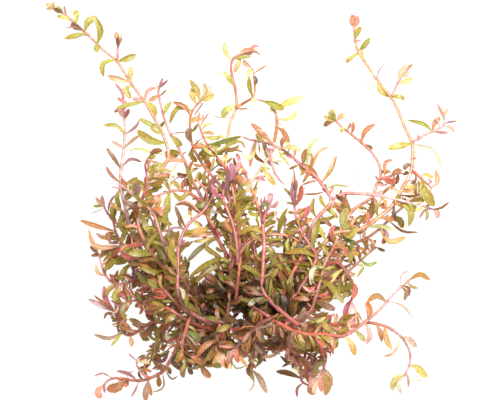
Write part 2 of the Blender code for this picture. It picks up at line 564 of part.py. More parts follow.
             (((439, 128), (436, 121), (432, 117)), 2, "pink"),
             (((418, 139), (417, 134)), 2, "mauve"),
         )),
    Stem("stem_mid_right", 2.0, (34, 24, 2), "rose", None,
         ((306, 306), (312, 292), (318, 276), (325, 262), (333, 250), (338, 243), (342, 232),
          (346, 220), (352, 210), (363, 203), (373, 196), (374, 190), (376, 184), (380, 178),
          (380, 170), (378, 163), (374, 156), (370, 151), (366, 147), (360, 142), (354, 137),
          (347, 131), (340, 126), (336, 121)),
         (
             (((334, 120), (331, 115), (334, 109)), 6, "olive"),
             (((335, 120), (340, 117), (345, 114)), 5, "peach"),
             (((334, 120), (329, 119), (324, 116)), 4, "yellow"),
             (((335, 122), (329, 122), (324, 126)), 5, "brown"),
             (((336, 121), (334, 118), (332, 111)), 5, "olive"),
             (((346, 130), (343, 128), (341, 133)), 5, "lime"),
             (((347, 131), (350, 122)), 5, "rust"),
             (((351, 134), (353, 129), (353, 122)), 4, "rust"),
             (((361, 143), (365, 131), (375, 124)), 5, "rust"),
             (((355, 138), (360, 140), (367, 147)), 7, "olive"),
             (((362, 143), (366, 146), (372, 149)), 5, "brown"),
             (((379, 180), (376, 178), (374, 175)), 2, "mauve"),
             (((376, 184), (380, 182), (383, 185)), 3, "brown"),
             (((374, 198), (369, 212), (356, 226)), 7, "olive"),
             (((376, 199), (372, 212), (362, 224)), 6, "brown"),
             (((372, 197), (380, 206), (386, 200)), 5, "coral"),
             (((352, 210), (344, 207), (341, 203)), 9, "olive"),
             (((338, 243), (348, 240), (352, 248)), 6, "green"),
             (((334, 250), (345, 242), (355, 230)), 7, "olive"),
         )),
    Stem("shoot_mid_right", 1.4, (12, 14, 13), "coral", "stem_mid_right",
         ((380, 179), (385, 178), (391, 176), (397, 173), (403, 174)),
         (
             (((381, 170), (384, 163), (392, 160)), 4, "rust"),
             (((383, 179), (389, 182), (395, 179)), 8, "magenta"),
             (((390, 176), (396, 172), (401, 171)), 6, "rust"),
             (((396, 173), (397, 178), (395, 184)), 7, "brown"),
             (((403, 174), (408, 173)), 6, "brown"),
             (((393, 176), (393, 184), (391, 190)), 4, "pink"),
         )),
    Stem("shoot_right_low", 1.5, (8, 12, 9), "rust", "stem_top_right",
         ((411, 171), (417, 176), (424, 182), (430, 188)),
         (
             (((430, 189), (436, 182), (434, 170)), 5, "peach"),
             (((419, 179), (424, 193), (433, 206)), 9, "olive"),
             (((418, 177), (424, 174), (432, 178)), 5, "yellow"),
             (((426, 184), (430, 182), (426, 179)), 3, "mauve"),
             (((413, 174), (414, 180), (409, 184)), 5, "brown"),
             (((429, 188), (428, 194), (432, 199)), 6, "rust"),
         )),
    Stem("stem_right_lobe", 1.8, (36, 22, -1), "rust", None,
         ((302, 316), (318, 292), (336, 268), (350, 246), (366, 238), (380, 228), (392, 216),
          (404, 206), (414, 198), (422, 193)),
         (
             (((422, 193), (428, 197), (432, 203)), 6, "olive"),
             (((418, 196), (412, 190), (404, 191)), 6, "rust"),
             (((410, 202), (420, 199), (424, 196)), 5, "olive"),
             (((404, 206), (412, 205), (414, 212)), 6, "olive"),
             (((392, 216), (400, 220), (402, 228)), 7, "olive"),
             (((382, 227), (388, 219), (385, 214)), 6, "brown"),
             (((380, 229), (390, 232), (391, 243)), 8, "pink"),
             (((366, 238), (372, 242), (371, 250)), 5, "rust"),
             (((362, 240), (366, 248), (360, 254)), 4, "rust"),
             (((352, 246), (358, 244), (356, 254)), 4, "mauve"),
         )),
    Stem("stem_mid_far_right", 1.8, (28, 14, -1), "salmon", None,
         ((312, 312), (322, 294), (330, 286), (338, 279), (346, 273), (354, 266), (362, 259),
          (370, 252), (376, 247)),
         (
             (((376, 247), (380, 249), (385, 251)), 3, "brown"),
             (((374, 248), (373, 243), (376, 240)), 5, "rust"),
             (((371, 251), (366, 246), (367, 239)), 5, "rust"),
             (((360, 260), (368, 265), (377, 262)), 4, "green"),
             (((356, 264), (364, 266), (357, 277)), 3, "lime"),
         )),
    Stem("stem_right_bottom_long", 2.2, (56, 40, -5), "salmon", None,
         ((248, 301), (254, 306), (267, 314), (281, 323), (296, 330), (310, 333), (322, 332),
          (332, 334), (341, 335), (350, 331), (359, 325), (367, 319), (377, 311), (386, 302),
          (393, 294), (399, 288), (405, 284), (409, 280)),
         (
             (((386, 301), (376, 295), (366, 301)), 6, "peach"),
             (((366, 319), (369, 310), (366, 301)), 7, "rust"),
             (((388, 301), (402, 305), (412, 317)), 2, "peach"),
             (((409, 280), (420, 274), (430, 280)), 5, "yellow"),
             (((408, 281), (411, 286), (418, 288)), 4, "yellow"),
             (((402, 286), (409, 288), (409, 296)), 4, "brown"),
             (((401, 287), (406, 292), (404, 300)), 4, "brown"),
             (((400, 287), (401, 275), (410, 270)), 1.5, "peach"),
             (((344, 336), (351, 344), (354, 354)), 6, "rust"),
             (((355, 329), (358, 333), (364, 340)), 5, "olive"),
             (((365, 322), (369, 334), (365, 343)), 6, "peach"),
             (((349, 331), (345, 327), (341, 337)), 6, "coral"),
             (((332, 333), (326, 326), (320, 319)), 7, "yellow"),
             (((340, 336), (330, 341), (318, 338)), 7, "olive"),
             (((334, 335), (330, 328), (324, 324)), 7, "yellow"),
             (((254, 305), (250, 300), (241, 298)), 6, "lime"),
             (((252, 303), (256, 298), (248, 304)), 6, "lime"),
             (((280, 323), (268, 326), (252, 328)), 6, "pale"),
             (((300, 330), (305, 325), (298, 321)), 7, "pale"),
         )),
    Stem("stem_right_bottom_droop", 1.9, (36, 16, -4), "coral", None,
         ((304, 322), (314, 326), (324, 326), (335, 323), (345, 325), (355, 325), (366, 322),
          (375, 323), (386, 326), (394, 331), (401, 336), (406, 344), (410, 352), (410, 362),
          (407, 371), (404, 376)),
         (
             (((374, 322), (378, 328), (381, 341)), 6, "rust"),
             (((384, 326), (384, 331), (380, 336)), 6, "pink"),
             (((385, 327), (385, 340), (391, 349)), 7, "yellow"),
             (((402, 335), (410, 339), (416, 347)), 6, "pink"),
             (((400, 336), (397, 345), (393, 353), (383, 356)), 3, "peach"),
             (((409, 365), (417, 367), (427, 377)), 8, "yellow"),
             (((406, 372), (408, 378), (408, 387)), 3, "mauve"),
             (((405, 374), (410, 380), (424, 380)), 1.5, "pale"),
             (((404, 374), (396, 379), (392, 390)), 7, "yellow"),
             (((404, 376), (398, 384), (402, 394)), 4, "pale"),
             (((410, 352), (400, 351)), 1.5, "pale"),
             (((335, 323), (340, 320), (347, 323)), 4, "lime"),
         )),
    Stem("stem_twist", 2.0, (40, 24, 14), "rose", None,
         ((292, 298), (302, 288), (312, 276), (322, 266), (331, 262), (338, 262), (343, 268),
          (347, 275), (352, 283), (353, 291), (351, 300)),
         (
             (((350, 300), (346, 308), (345, 319)), 6, "mauve"),
             (((351, 301), (353, 314), (349, 328)), 9, "blush"),
             (((353, 303), (355, 312), (356, 321)), 4, "yellow"),
             (((351, 283), (345, 286), (346, 297)), 9, "olive"),
             (((352, 284), (355, 285)), 3, "olive"),
             (((343, 268), (336, 272), (324, 286)), 7, "yellow"),
             (((331, 262), (326, 274), (322, 286)), 6, "mauve"),
             (((347, 276), (341, 280), (338, 292)), 7, "lime"),
         )),
    Stem("stem_red_core", 1.9, (46, 44, 34), "coral", None,
         ((300, 322), (306, 314), (311, 308), (314, 298), (317, 288), (320, 278), (322, 268),
          (326, 258), (332, 248), (336, 238)),
         (
             (((311, 309), (306, 312), (316, 320)), 7, "blush"),
             (((317, 289), (310, 291), (301, 284)), 3, "salmon"),
             (((320, 279), (330, 285), (342, 302)), 8, "olive"),
             (((314, 299), (324, 304), (334, 308)), 8, "brown"),
             (((322, 268), (312, 268), (310, 284)), 6, "pale"),
             (((336, 238), (330, 232), (334, 226)), 6, "coral"),
             (((332, 248), (340, 246), (348, 254)), 6, "rust"),
         )),
    Stem("stem_bottom_curl", 2.1, (50, 40, 26), "salmon", None,
         ((272, 316), (262, 321), (253, 328), (248, 332), (243, 338), (238, 344), (232, 348),
          (224, 347), (219, 341), (217, 334)),
         (
             (((248, 332), (246, 326), (244, 320)), 4, "yellow"),
             (((227, 348), (229, 357), (231, 368)), 4, "peach"),
             (((222, 346), (218, 354), (213, 362)), 6, "rust"),
             (((236, 346), (241, 357), (248, 366)), 5, "olive"),
             (((225, 348), (222, 358), (228, 367)), 6, "rust"),
             (((230, 348), (233, 363), (238, 367), (246, 364)), 2, "olive"),
             (((219, 341), (223, 336), (224, 330)), 4, "coral"),
             (((232, 348), (240, 347), (247, 350)), 6, "pink"),
             (((243, 338), (254, 338), (263, 334)), 4, "yellow"),
             (((218, 343), (210, 350), (206, 360)), 7, "olive"),
             (((217, 338), (206, 344), (198, 354)), 7, "rust"),
         )),
    Stem("stem_bottom_down", 1.9, (42, 20, -4), "rose", None,
         ((266, 310), (259, 318), (253, 329), (253, 338), (252, 346), (251, 354), (250, 362),
          (252, 370)),
         (
             (((253, 369), (260, 378), (267, 393)), 6, "brown"),
             (((251, 368), (251, 374), (253, 380)), 4, "yellow"),
             (((250, 362), (248, 370), (250, 376)), 4, "brown"),
             (((252, 370), (254, 384), (248, 392)), 2, "pale"),
             (((254, 346), (258, 352), (260, 361)), 6, "brown"),
             (((254, 352), (262, 356), (256, 366)), 5, "olive"),
             (((253, 350), (260, 356), (266, 361)), 4, "black"),
             (((251, 352), (256, 352), (258, 358)), 5, "pink"),
         )),
    Stem("stem_bottom_loop", 1.9, (34, 18, 12), "magenta", None,
         ((274, 322), (280, 330), (284, 338), (286, 344), (281, 348), (272, 349), (263, 348),
          (256, 346)),
         (
             (((284, 347), (273, 354), (262, 356)), 4, "peach"),
             (((278, 328), (268, 332), (256, 337)), 3, "yellow"),
             (((283, 338), (272, 334), (262, 336)), 6, "pale"),
             (((285, 342), (288, 336), (287, 331)), 3, "pale"),
             (((276, 340), (272, 341), (266, 344)), 9, "black"),
         )),
    Stem("stem_bottom_right", 2.0, (40, 18, -4), "coral", None,
         ((292, 328), (288, 337), (290, 346), (295, 353), (303, 358), (309, 363), (304, 370),
          (300, 377), (303, 383), (308, 385)),
         (
             (((298, 378), (288, 373), (276, 371)), 6, "brown"),
             (((298, 356), (289, 362), (280, 355)), 6, "black"),
             (((296, 360), (288, 362), (282, 366)), 3, "black"),
             (((302, 383), (297, 388), (297, 397)), 3, "mauve"),
             (((308, 385), (310, 390), (315, 394)), 7, "peach"),
             (((301, 376), (307, 377), (308, 382)), 5, "rust"),
             (((303, 358), (297, 364), (296, 373)), 5, "pale"),
             (((304, 371), (309, 366), (314, 364)), 6, "brown"),
             (((291, 347), (296, 342), (299, 334)), 7, "olive"),
             (((293, 350), (300, 346), (303, 352)), 6, "rust"),
             (((306, 378), (308, 372), (312, 368)), 4, "pale"),
         )),
    Stem("stem_bottom_right_tuft", 1.9, (42, 18, -4), "coral", None,
         ((284, 318), (296, 328), (308, 336), (318, 343), (325, 350), (326, 358), (324, 366),
          (322, 373)),
         (
             (((321, 368), (313, 374), (309, 387)), 7, "pink"),
             (((322, 369), (320, 380), (322, 391)), 8, "pink"),
             (((324, 370), (328, 383), (325, 395)), 6, "rust"),
             (((325, 368), (331, 376), (332, 386)), 3, "peach"),
             (((324, 361), (317, 364), (313, 374)), 9, "olive"),
             (((320, 345), (328, 345), (333, 354)), 8, "coral"),
             (((309, 337), (315, 345), (317, 353)), 6, "olive"),
             (((321, 372), (316, 382), (313, 393)), 5, "yellow"),
             (((308, 336), (318, 336), (330, 341)), 7, "pale"),
             (((326, 356), (320, 353), (321, 346)), 5, "coral"),
         )),
    Stem("stem_mid_red", 2.1, (46, 46, 42), "coral", None,
         ((230, 268), (240, 252), (250, 241), (258, 237), (266, 235), (276, 234), (286, 235),
          (294, 238), (299, 241)),
         (
             (((299, 241), (300, 236), (304, 233)), 5, "rust"),
             (((270, 235), (276, 242), (284, 246)), 5, "olive"),
             (((288, 236), (292, 230), (300, 232)), 6, "olive"),
             (((262, 236), (258, 228), (248, 226)), 5, "olive"),
             (((250, 241), (247, 247), (250, 258)), 8, "olive"),
             (((240, 252), (242, 244), (248, 243)), 3, "mauve"),
             (((280, 234), (279, 224), (287, 208)), 5, "olive"),
         )),
    Stem("shoot_mid_left", 1.7, (20, 18, 16), "salmon", "stem_left_pink",
         ((204, 204), (198, 199), (190, 193), (181, 190), (172, 191), (163, 194), (154, 197)),
         (
             (((170, 191), (168, 202), (169, 213)), 8, "lime"),
             (((171, 190), (167, 184), (163, 177)), 6, "olive"),
             (((174, 193), (181, 199), (189, 192)), 6, "olive"),
             (((155, 197), (150, 193), (143, 198)), 5, "rust"),
             (((160, 195), (158, 200), (151, 202)), 6, "rust"),
             (((171, 189), (172, 174), (178, 163)), 3, "peach"),
             (((189, 192), (184, 176), (173, 181)), 2, "mauve"),
             (((182, 190), (184, 184), (189, 179)), 7, "rust"),
             (((198, 199), (199, 207), (205, 210)), 6, "olive"),
         )),
    Stem("shoot_inner_curve", 1.6, (38, 40, 36), "salmon", None,
         ((222, 236), (214, 226), (207, 214), (208, 200), (206, 190), (201, 184), (196, 178)),
         (
             (((206, 190), (212, 186), (218, 187)), 4, "rust"),
             (((208, 200), (202, 206), (197, 204)), 6, "green"),
             (((214, 226), (226, 224), (236, 226)), 6, "olive"),
             (((207, 214), (217, 212), (226, 213)), 4, "pale"),
             (((216, 228), (219, 222), (215, 231)), 3, "black"),
         )),
    Stem("stem_pink_bunch", 1.9, (50, 50, 46), "magenta", None,
         ((238, 262), (237, 244), (233, 224), (227, 208), (223, 196), (226, 184), (230, 174)),
         (
             (((224, 192), (229, 180), (228, 166)), 7, "mauve"),
             (((227, 184), (233, 176), (231, 163)), 7, "mauve"),
             (((230, 176), (237, 170), (240, 160)), 6, "pink"),
             (((229, 180), (240, 178), (246, 185)), 6, "rust"),
             (((223, 196), (215, 194), (212, 184)), 7, "magenta"),
             (((227, 206), (221, 202), (217, 208)), 7, "olive"),
             (((233, 222), (240, 212), (236, 202)), 8, "olive"),
             (((235, 228), (244, 220), (250, 218)), 6, "olive"),
             (((232, 216), (226, 222), (232, 232)), 5, "rust"),
         )),
    Stem("stem_cross", 1.7, (34, 38, 40), "coral", None,
         ((246, 262), (243, 246), (239, 228), (231, 208), (229, 199), (234, 192), (240, 186)),
         (
             (((229, 200), (225, 193), (221, 186)), 4, "rust"),
             (((240, 186), (240, 194), (238, 200)), 7, "olive"),
             (((240, 187), (246, 184), (250, 188)), 6, "lime"),
             (((236, 190), (231, 184), (232, 178)), 6, "olive"),
             (((239, 228), (246, 232), (254, 230)), 7, "olive"),
         )),
    Stem("stem_left_back", 1.8, (12, 10, 5), "rust", None,
         ((214, 312), (196, 292), (178, 264), (163, 238), (152, 220), (143, 206), (138, 198)),
         (
             (((150, 217), (144, 226), (146, 240)), 8, "olive"),
             (((163, 238), (156, 230), (146, 228)), 7, "olive"),
             (((143, 206), (136, 208), (134, 220)), 6, "coral"),
             (((174, 256), (166, 252), (160, 240)), 7, "olive"),
         )),
    Stem("stem_left_middle", 1.8, (18, 20, 12), "rust", None,
         ((210, 324), (188, 312), (166, 290), (150, 272), (138, 256), (133, 244), (132, 232)),
         (
             (((132, 236), (124, 230), (120, 220)), 7, "olive"),
             (((134, 248), (127, 246), (121, 252)), 6, "rust"),
             (((138, 256), (146, 254), (152, 262)), 7, "olive"),
             (((150, 272), (142, 274), (136, 268)), 6, "mauve"),
             (((158, 282), (168, 276), (166, 264)), 8, "olive"),
         )),
    Stem("stem_left_under", 1.8, (20, 22, 14), "coral", None,
         ((214, 328), (194, 322), (170, 308), (148, 302), (130, 300), (120, 305), (112, 300)),
         (
             (((120, 304), (115, 296), (118, 288)), 7, "lime"),
             (((130, 300), (134, 292), (128, 286)), 5, "rust"),
             (((137, 300), (143, 308), (140, 314)), 5, "coral"),
             (((148, 302), (154, 294), (162, 296)), 7, "pink"),
             (((148, 303), (156, 312), (168, 322)), 8, "lime"),
             (((128, 300), (123, 310), (126, 318)), 6, "olive"),
         )),
    Stem("stem_mid_back", 1.8, (14, 22, 26), "rust", None,
         ((248, 330), (246, 308), (248, 286), (252, 262), (252, 240), (248, 222), (242, 208)),
         (
             (((242, 208), (250, 200), (252, 208)), 7, "lime"),
             (((248, 224), (240, 218), (236, 208)), 7, "olive"),
             (((252, 244), (246, 250), (250, 262)), 8, "olive"),
             (((250, 262), (258, 266), (256, 276)), 6, "olive"),
         )),
    Stem("stem_mid_upper", 1.8, (22, 30, 30), "rust", None,
         ((272, 318), (282, 300), (288, 280), (288, 262), (284, 246), (284, 230), (286, 218)),
         (
             (((286, 220), (281, 226), (282, 212)), 6, "olive"),
             (((284, 234), (292, 228), (298, 232)), 7, "olive"),
             (((286, 250), (296, 254), (304, 250)), 7, "olive"),
             (((288, 262), (280, 256), (270, 262)), 8, "mauve"),
             (((286, 242), (277, 246), (272, 240)), 6, "green"),
         )),
    Stem("stem_right_middle", 1.8, (16, 22, 16), "rust", None,
         ((292, 322), (308, 304), (324, 284), (334, 264), (344, 246), (352, 230), (352, 216)),
         (
             (((352, 218), (345, 214), (347, 202)), 9, "olive"),
             (((352, 224), (346, 228), (340, 222)), 8, "green"),
             (((345, 244), (351, 250), (348, 262)), 6, "olive"),
             (((334, 264), (342, 270), (348, 280)), 6, "rust"),
             (((324, 284), (332, 290), (330, 300)), 8, "brown"),
         )),
    Stem("stem_low_middle", 1.8, (24, 16, 0), "rust", None,
         ((238, 312), (226, 324), (214, 332), (206, 342), (202, 352), (206, 362)),
         (
             (((206, 361), (214, 364), (222, 366)), 6, "yellow"),
             (((204, 348), (212, 352), (216, 360)), 8, "rust"),
             (((214, 332), (222, 334), (226, 342)), 5, "coral"),
             (((208, 340), (198, 342), (192, 340)), 6, "pink"),
             (((226, 324), (224, 334), (230, 342)), 6, "brown"),
         )),
    Stem("stem_low_right", 1.8, (16, 14, 8), "rust", None,
         ((262, 330), (276, 340), (290, 352), (304, 352), (316, 358), (320, 366)),
         (
             (((319, 364), (313, 368), (316, 376)), 6, "olive"),
             (((304, 352), (310, 348), (312, 342)), 6, "olive"),
             (((290, 352), (294, 360), (292, 368)), 5, "black"),
             (((300, 352), (302, 344), (298, 338)), 6, "green"),
         )),
)

# The outline of the thick of the bunch, where leaves fill every stem, and round holes in it as
# their middle and radius, all in spans.
THICKET = (
    (114, 180), (145, 178), (150, 150), (160, 118), (175, 150), (190, 150), (192, 110),
    (204, 112), (214, 132), (235, 134), (252, 138), (256, 128), (275, 128), (284, 134),
    (290, 145), (304, 156), (314, 160), (320, 178), (346, 190), (352, 210), (358, 222),
    (364, 205), (372, 190), (382, 170), (400, 172), (432, 175), (434, 200), (416, 210),
    (400, 226), (396, 238), (372, 250), (356, 262), (354, 300), (358, 318), (340, 338),
    (328, 362), (332, 385), (310, 388), (294, 370), (278, 352), (262, 362), (256, 378),
    (244, 362), (225, 364), (200, 368), (178, 372), (165, 384), (148, 392), (138, 370),
    (150, 348), (145, 340), (118, 336), (110, 320), (100, 300), (106, 282), (100, 270),
    (98, 256), (92, 250), (98, 238), (100, 205),
)
HOLES = (
    (173, 217, 6), (189, 250, 7), (194, 267, 6), (206, 258, 6), (186, 234, 5), (264, 188, 7),
    (276, 196, 6), (281, 208, 5), (251, 168, 7), (284, 174, 5), (313, 190, 5), (313, 205, 5),
    (157, 186, 4), (214, 163, 5), (176, 162, 6), (330, 218, 3), (375, 236, 4), (400, 228, 4),
    (115, 238, 4), (361, 240, 5),
)

Path = namedtuple("Path", "points radii tangents sides ups lengths")


def flat(place):
    """Return a place given in spans as metres from the middle of the bunch."""
    return ((place[0] - ORIGIN_U) * SPAN, (ORIGIN_V - place[1]) * SPAN)


def smooth_route(knots, step):
    """Return a smooth curve through the knots with a sample at every step of its length."""
    knots = np.array(knots, dtype=float)
    before = 2.0 * knots[0] - knots[1]
    after = 2.0 * knots[-1] - knots[-2]
    knots = np.vstack([before, knots, after])
    fine = []
    for i in range(1, len(knots) - 2):
        a, b, c, d = knots[i - 1:i + 3]
        for t in np.linspace(0.0, 1.0, 8, endpoint=False):
            even = 2.0 * b + (2.0 * a - 5.0 * b + 4.0 * c - d) * t ** 2
            odd = (c - a) * t + (3.0 * b - a - 3.0 * c + d) * t ** 3
            fine.append(0.5 * (even + odd))
    fine.append(knots[-2])
    fine = np.array(fine)
    return even_samples(fine, step)


def even_samples(fine, step):
    """Return the same line with its samples evenly spaced along its length."""
    runs = np.linalg.norm(np.diff(fine, axis=0), axis=1)
    lengths = np.concatenate([[0.0], np.cumsum(runs)])
    count = max(4, int(round(lengths[-1] / step)) + 1)
    at = np.linspace(0.0, lengths[-1], count)
    columns = [np.interp(at, lengths, fine[:, k]) for k in range(fine.shape[1])]
    return np.column_stack(columns)


def calmed(values, reach):
    """Return the values averaged over their neighbours on both sides, with the ends kept."""
    padded = np.pad(values, [(reach, reach)] + [(0, 0)] * (values.ndim - 1), mode="edge")
    total = sum(padded[k:k + len(values)] for k in range(2 * reach + 1))
    result = total / (2 * reach + 1)
    weight = np.clip(np.minimum(np.arange(len(values)), np.arange(len(values))[::-1]) / reach, 0, 1)
    weight = weight.reshape([-1] + [1] * (values.ndim - 1))
    return values * (1.0 - weight) + result * weight


def roof(values, reach):
    """Return a smooth line that is nowhere lower than the values."""
    padded = np.pad(values, reach, mode="edge")
    highest = np.max([padded[k:k + len(values)] for k in range(2 * reach + 1)], axis=0)
    padded = np.pad(highest, reach, mode="edge")
    return sum(padded[k:k + len(values)] for k in range(2 * reach + 1)) / (2 * reach + 1)


def stem_radii(stem, count):
    """Return the stem's radius at each sample: it thins towards its tip."""
    share = np.linspace(0.0, 1.0, count)
    return 0.5 * stem.girth * MM * (1.0 - (1.0 - TIP_SHARE) * share ** 1.3)


def wanted_height(stem, count):
    """Return the height at each sample, a parabola through the foot, middle and tip."""
    share = np.linspace(0.0, 1.0, count)
    foot, middle, tip = stem.heights
    low = foot * (2.0 * share - 1.0) * (share - 1.0)
    mid = middle * 4.0 * share * (1.0 - share)
    high = tip * share * (2.0 * share - 1.0)
    return MM * (low + mid + high)


def resting_on(route, radii, others, gap):
    """Return how high the stem must run at each sample to lie clear above the others."""
    need = np.full(len(route), -1.0)
    for other in others:
        away = np.linalg.norm(route[:, None, :] - other.points[None, :, :2], axis=2)
        away = np.maximum(away - 0.5 * SAMPLE, 0.0)
        reach = radii[:, None] + other.radii[None, :] + gap
        over = np.sqrt(np.maximum(reach ** 2 - away ** 2, 0.0)) + other.points[None, :, 2]
        over = np.where(away < reach, over, -1.0)
        need = np.maximum(need, over.max(axis=1))
    return need


def path_of(points, radii):
    """Return the path with the directions along, beside and above the stem at each sample."""
    tangents = np.gradient(points, axis=0)
    tangents /= np.linalg.norm(tangents, axis=1)[:, None]
    sides = np.column_stack([-tangents[:, 1], tangents[:, 0], np.zeros(len(points))])
    sides /= np.maximum(np.linalg.norm(sides, axis=1), 1e-9)[:, None]
    ups = np.cross(tangents, sides)
    runs = np.linalg.norm(np.diff(points, axis=0), axis=1)
    lengths = np.concatenate([[0.0], np.cumsum(runs)])
    return Path(points, radii, tangents, sides, ups, lengths)


def laying_order():
    """Return the stems from the lowest to the highest, each shoot right after its parent."""
    named = {stem.name: stem for stem in STEMS}
    mains = sorted((stem for stem in STEMS if not stem.parent), key=lambda s: s.heights[1])
    order = []
    waiting = [stem for stem in STEMS if stem.parent]
    for main in mains:
        order.append(main)
        grown = [main.name]
        while True:
            ready = [stem for stem in waiting if stem.parent in grown]
            if not ready:
                break
            for stem in ready:
                waiting.remove(stem)
                order.append(named[stem.name])
                grown.append(stem.name)
    return order


def lay_stems():
    """Return each stem's path. A stem laid later runs over the earlier ones that it crosses."""
    laid = {}
    for stem in laying_order():
        route = smooth_route([flat(place) for place in stem.route], SAMPLE)
        route = calmed(route, 2)
        radii = stem_radii(stem, len(route))
        height = wanted_height(stem, len(route))
        others = [path for name, path in laid.items() if name != stem.parent]
        if stem.parent:
            parent = laid[stem.parent]
            nearest = np.linalg.norm(parent.points[:, :2] - route[0], axis=1).argmin()
            height = height + parent.points[nearest, 2] - height[0]
            beside = resting_on(route, radii, [parent], FORK_GAP)
            height = np.maximum(height, roof(beside, 1))
        if others:
            above = resting_on(route, radii, others, STEM_GAP)
            height = np.maximum(height, roof(above, 4))
        height = roof(np.maximum(height, radii), 2)
        points = np.column_stack([route, height])
        points = even_samples(points, SAMPLE)
        laid[stem.name] = path_of(points, stem_radii(stem, len(points)))
    return laid


Leaf = namedtuple("Leaf", "spot face middle tip across thick outer whole box")


def frame_at(path, at):
    """Return the middle, along, side, up and radius of a stem at a length along it."""
    rows = np.column_stack([path.points, path.tangents, path.sides, path.ups, path.radii])
    row = [np.interp(at, path.lengths, rows[:, k]) for k in range(rows.shape[1])]
    middle, along, side, up = (np.array(row[k:k + 3]) for k in (0, 3, 6, 9))
    along /= np.linalg.norm(along)
    side -= along * side.dot(along)
    side /= np.linalg.norm(side)
    up = np.cross(along, side)
    return middle, along, side, up, row[12]


def ring_corners(path, at):
    """Return the four corners of the stem's square section at a length along it."""
    middle, _, side, up, radius = frame_at(path, at)
    beside = side * radius * CORNER
    above = up * radius * CORNER
    return [middle + beside + above, middle - beside + above,
            middle - beside - above, middle + beside - above]


def face_normals(path, at):
    """Return the outward directions of the stem's four faces: top, right, underside, left."""
    _, _, side, up, _ = frame_at(path, at)
    return [up, -side, -up, side]


def face_corners(path, at, face):
    """Return the four corners of the short length of one stem face that a leaf grows from."""
    back = ring_corners(path, at - NODE_LENGTH / 2)
    front = ring_corners(path, at + NODE_LENGTH / 2)
    after = (face + 1) % 4
    return [back[face], front[face], front[after], back[after]]


def section(middle, along, flat_up, half_width, half_thick):
    """Return the corners of a leaf's cross-section, going round its direction."""
    across = np.cross(along, flat_up)
    across /= np.linalg.norm(across)
    normal = np.cross(across, along)
    wide = across * half_width
    thick = normal * half_thick
    return [middle + wide + thick, middle - wide + thick,
            middle - wide - thick, middle + wide - thick]


def turned_to(start, corners):
    """Return the corners in the order that joins them to the start without a twist."""
    orders = [corners[k:] + corners[:k] for k in range(4)]
    orders += [order[::-1] for order in orders]
    spreads = [sum(np.linalg.norm(a - b) for a, b in zip(start, order)) for order in orders]
    return orders[int(np.argmin(spreads))]


def leaf_tree(start, middle_corners, tip):
    """Return the search trees of a leaf and of its outer half."""
    corners = [Vector(c) for c in list(start) + list(middle_corners) + [tip]]
    outer = [(4 + k, 4 + (k + 1) % 4, 8) for k in range(4)]
    inner = [(k, (k + 1) % 4, 4 + (k + 1) % 4, 4 + k) for k in range(4)]
    return BVHTree.FromPolygons(corners, outer), BVHTree.FromPolygons(corners, inner + outer)


def tube_tree(path, places):
    """Return the search tree of a stem's surface with sections at these lengths."""
    corners = []
    for at in places:
        corners += [Vector(c) for c in ring_corners(path, at)]
    faces = []
    for k in range(len(places) - 1):
        low = 4 * k
        faces += [(low + c, low + (c + 1) % 4, low + 4 + (c + 1) % 4, low + 4 + c) for c in range(4)]
    return BVHTree.FromPolygons(corners, faces)


def box_of(points):
    """Return the lowest and highest corner of the points' box."""
    points = np.array(points)
    return np.concatenate([points.min(axis=0), points.max(axis=0)])


def boxes_meet(box, boxes):
    """Return which of the boxes meet the first one."""
    boxes = np.array(boxes)
    return np.where((boxes[:, :3] <= box[3:]).all(axis=1) & (boxes[:, 3:] >= box[:3]).all(axis=1))[0]


def shaped_leaf(path, spot, face, middle, tip, width, roll):
    """Return the leaf that grows from a stem face to the tip, a little larger all round to test."""
    start = face_corners(path, spot, face)
    base = np.mean(start, axis=0)
    along = tip - base
    length = np.linalg.norm(along)
    along /= length
    flat_up = np.array([0.0, 0.0, 1.0]) + roll * np.cross(along, [0.0, 0.0, 1.0])
    if abs(along[2]) > 0.9:
        flat_up = flat_up + np.array([along[0], along[1], 0.0]) * -4.0
    half = 0.45 * width
    exact = None
    if width * length > SMALL_LEAF:
        exact = turned_to(start, section(middle, along, flat_up, half, LEAF_THICK / 2))
    grown = section(middle, along, flat_up, half + LEAF_GAP, LEAF_THICK / 2 + LEAF_GAP)
    grown = turned_to(start, grown)
    far = tip + along * LEAF_GAP
    outer, whole = leaf_tree(start, grown, far)
    return Leaf(spot, face, exact, tip, along, half, outer, whole, box_of(start + grown + [far]))


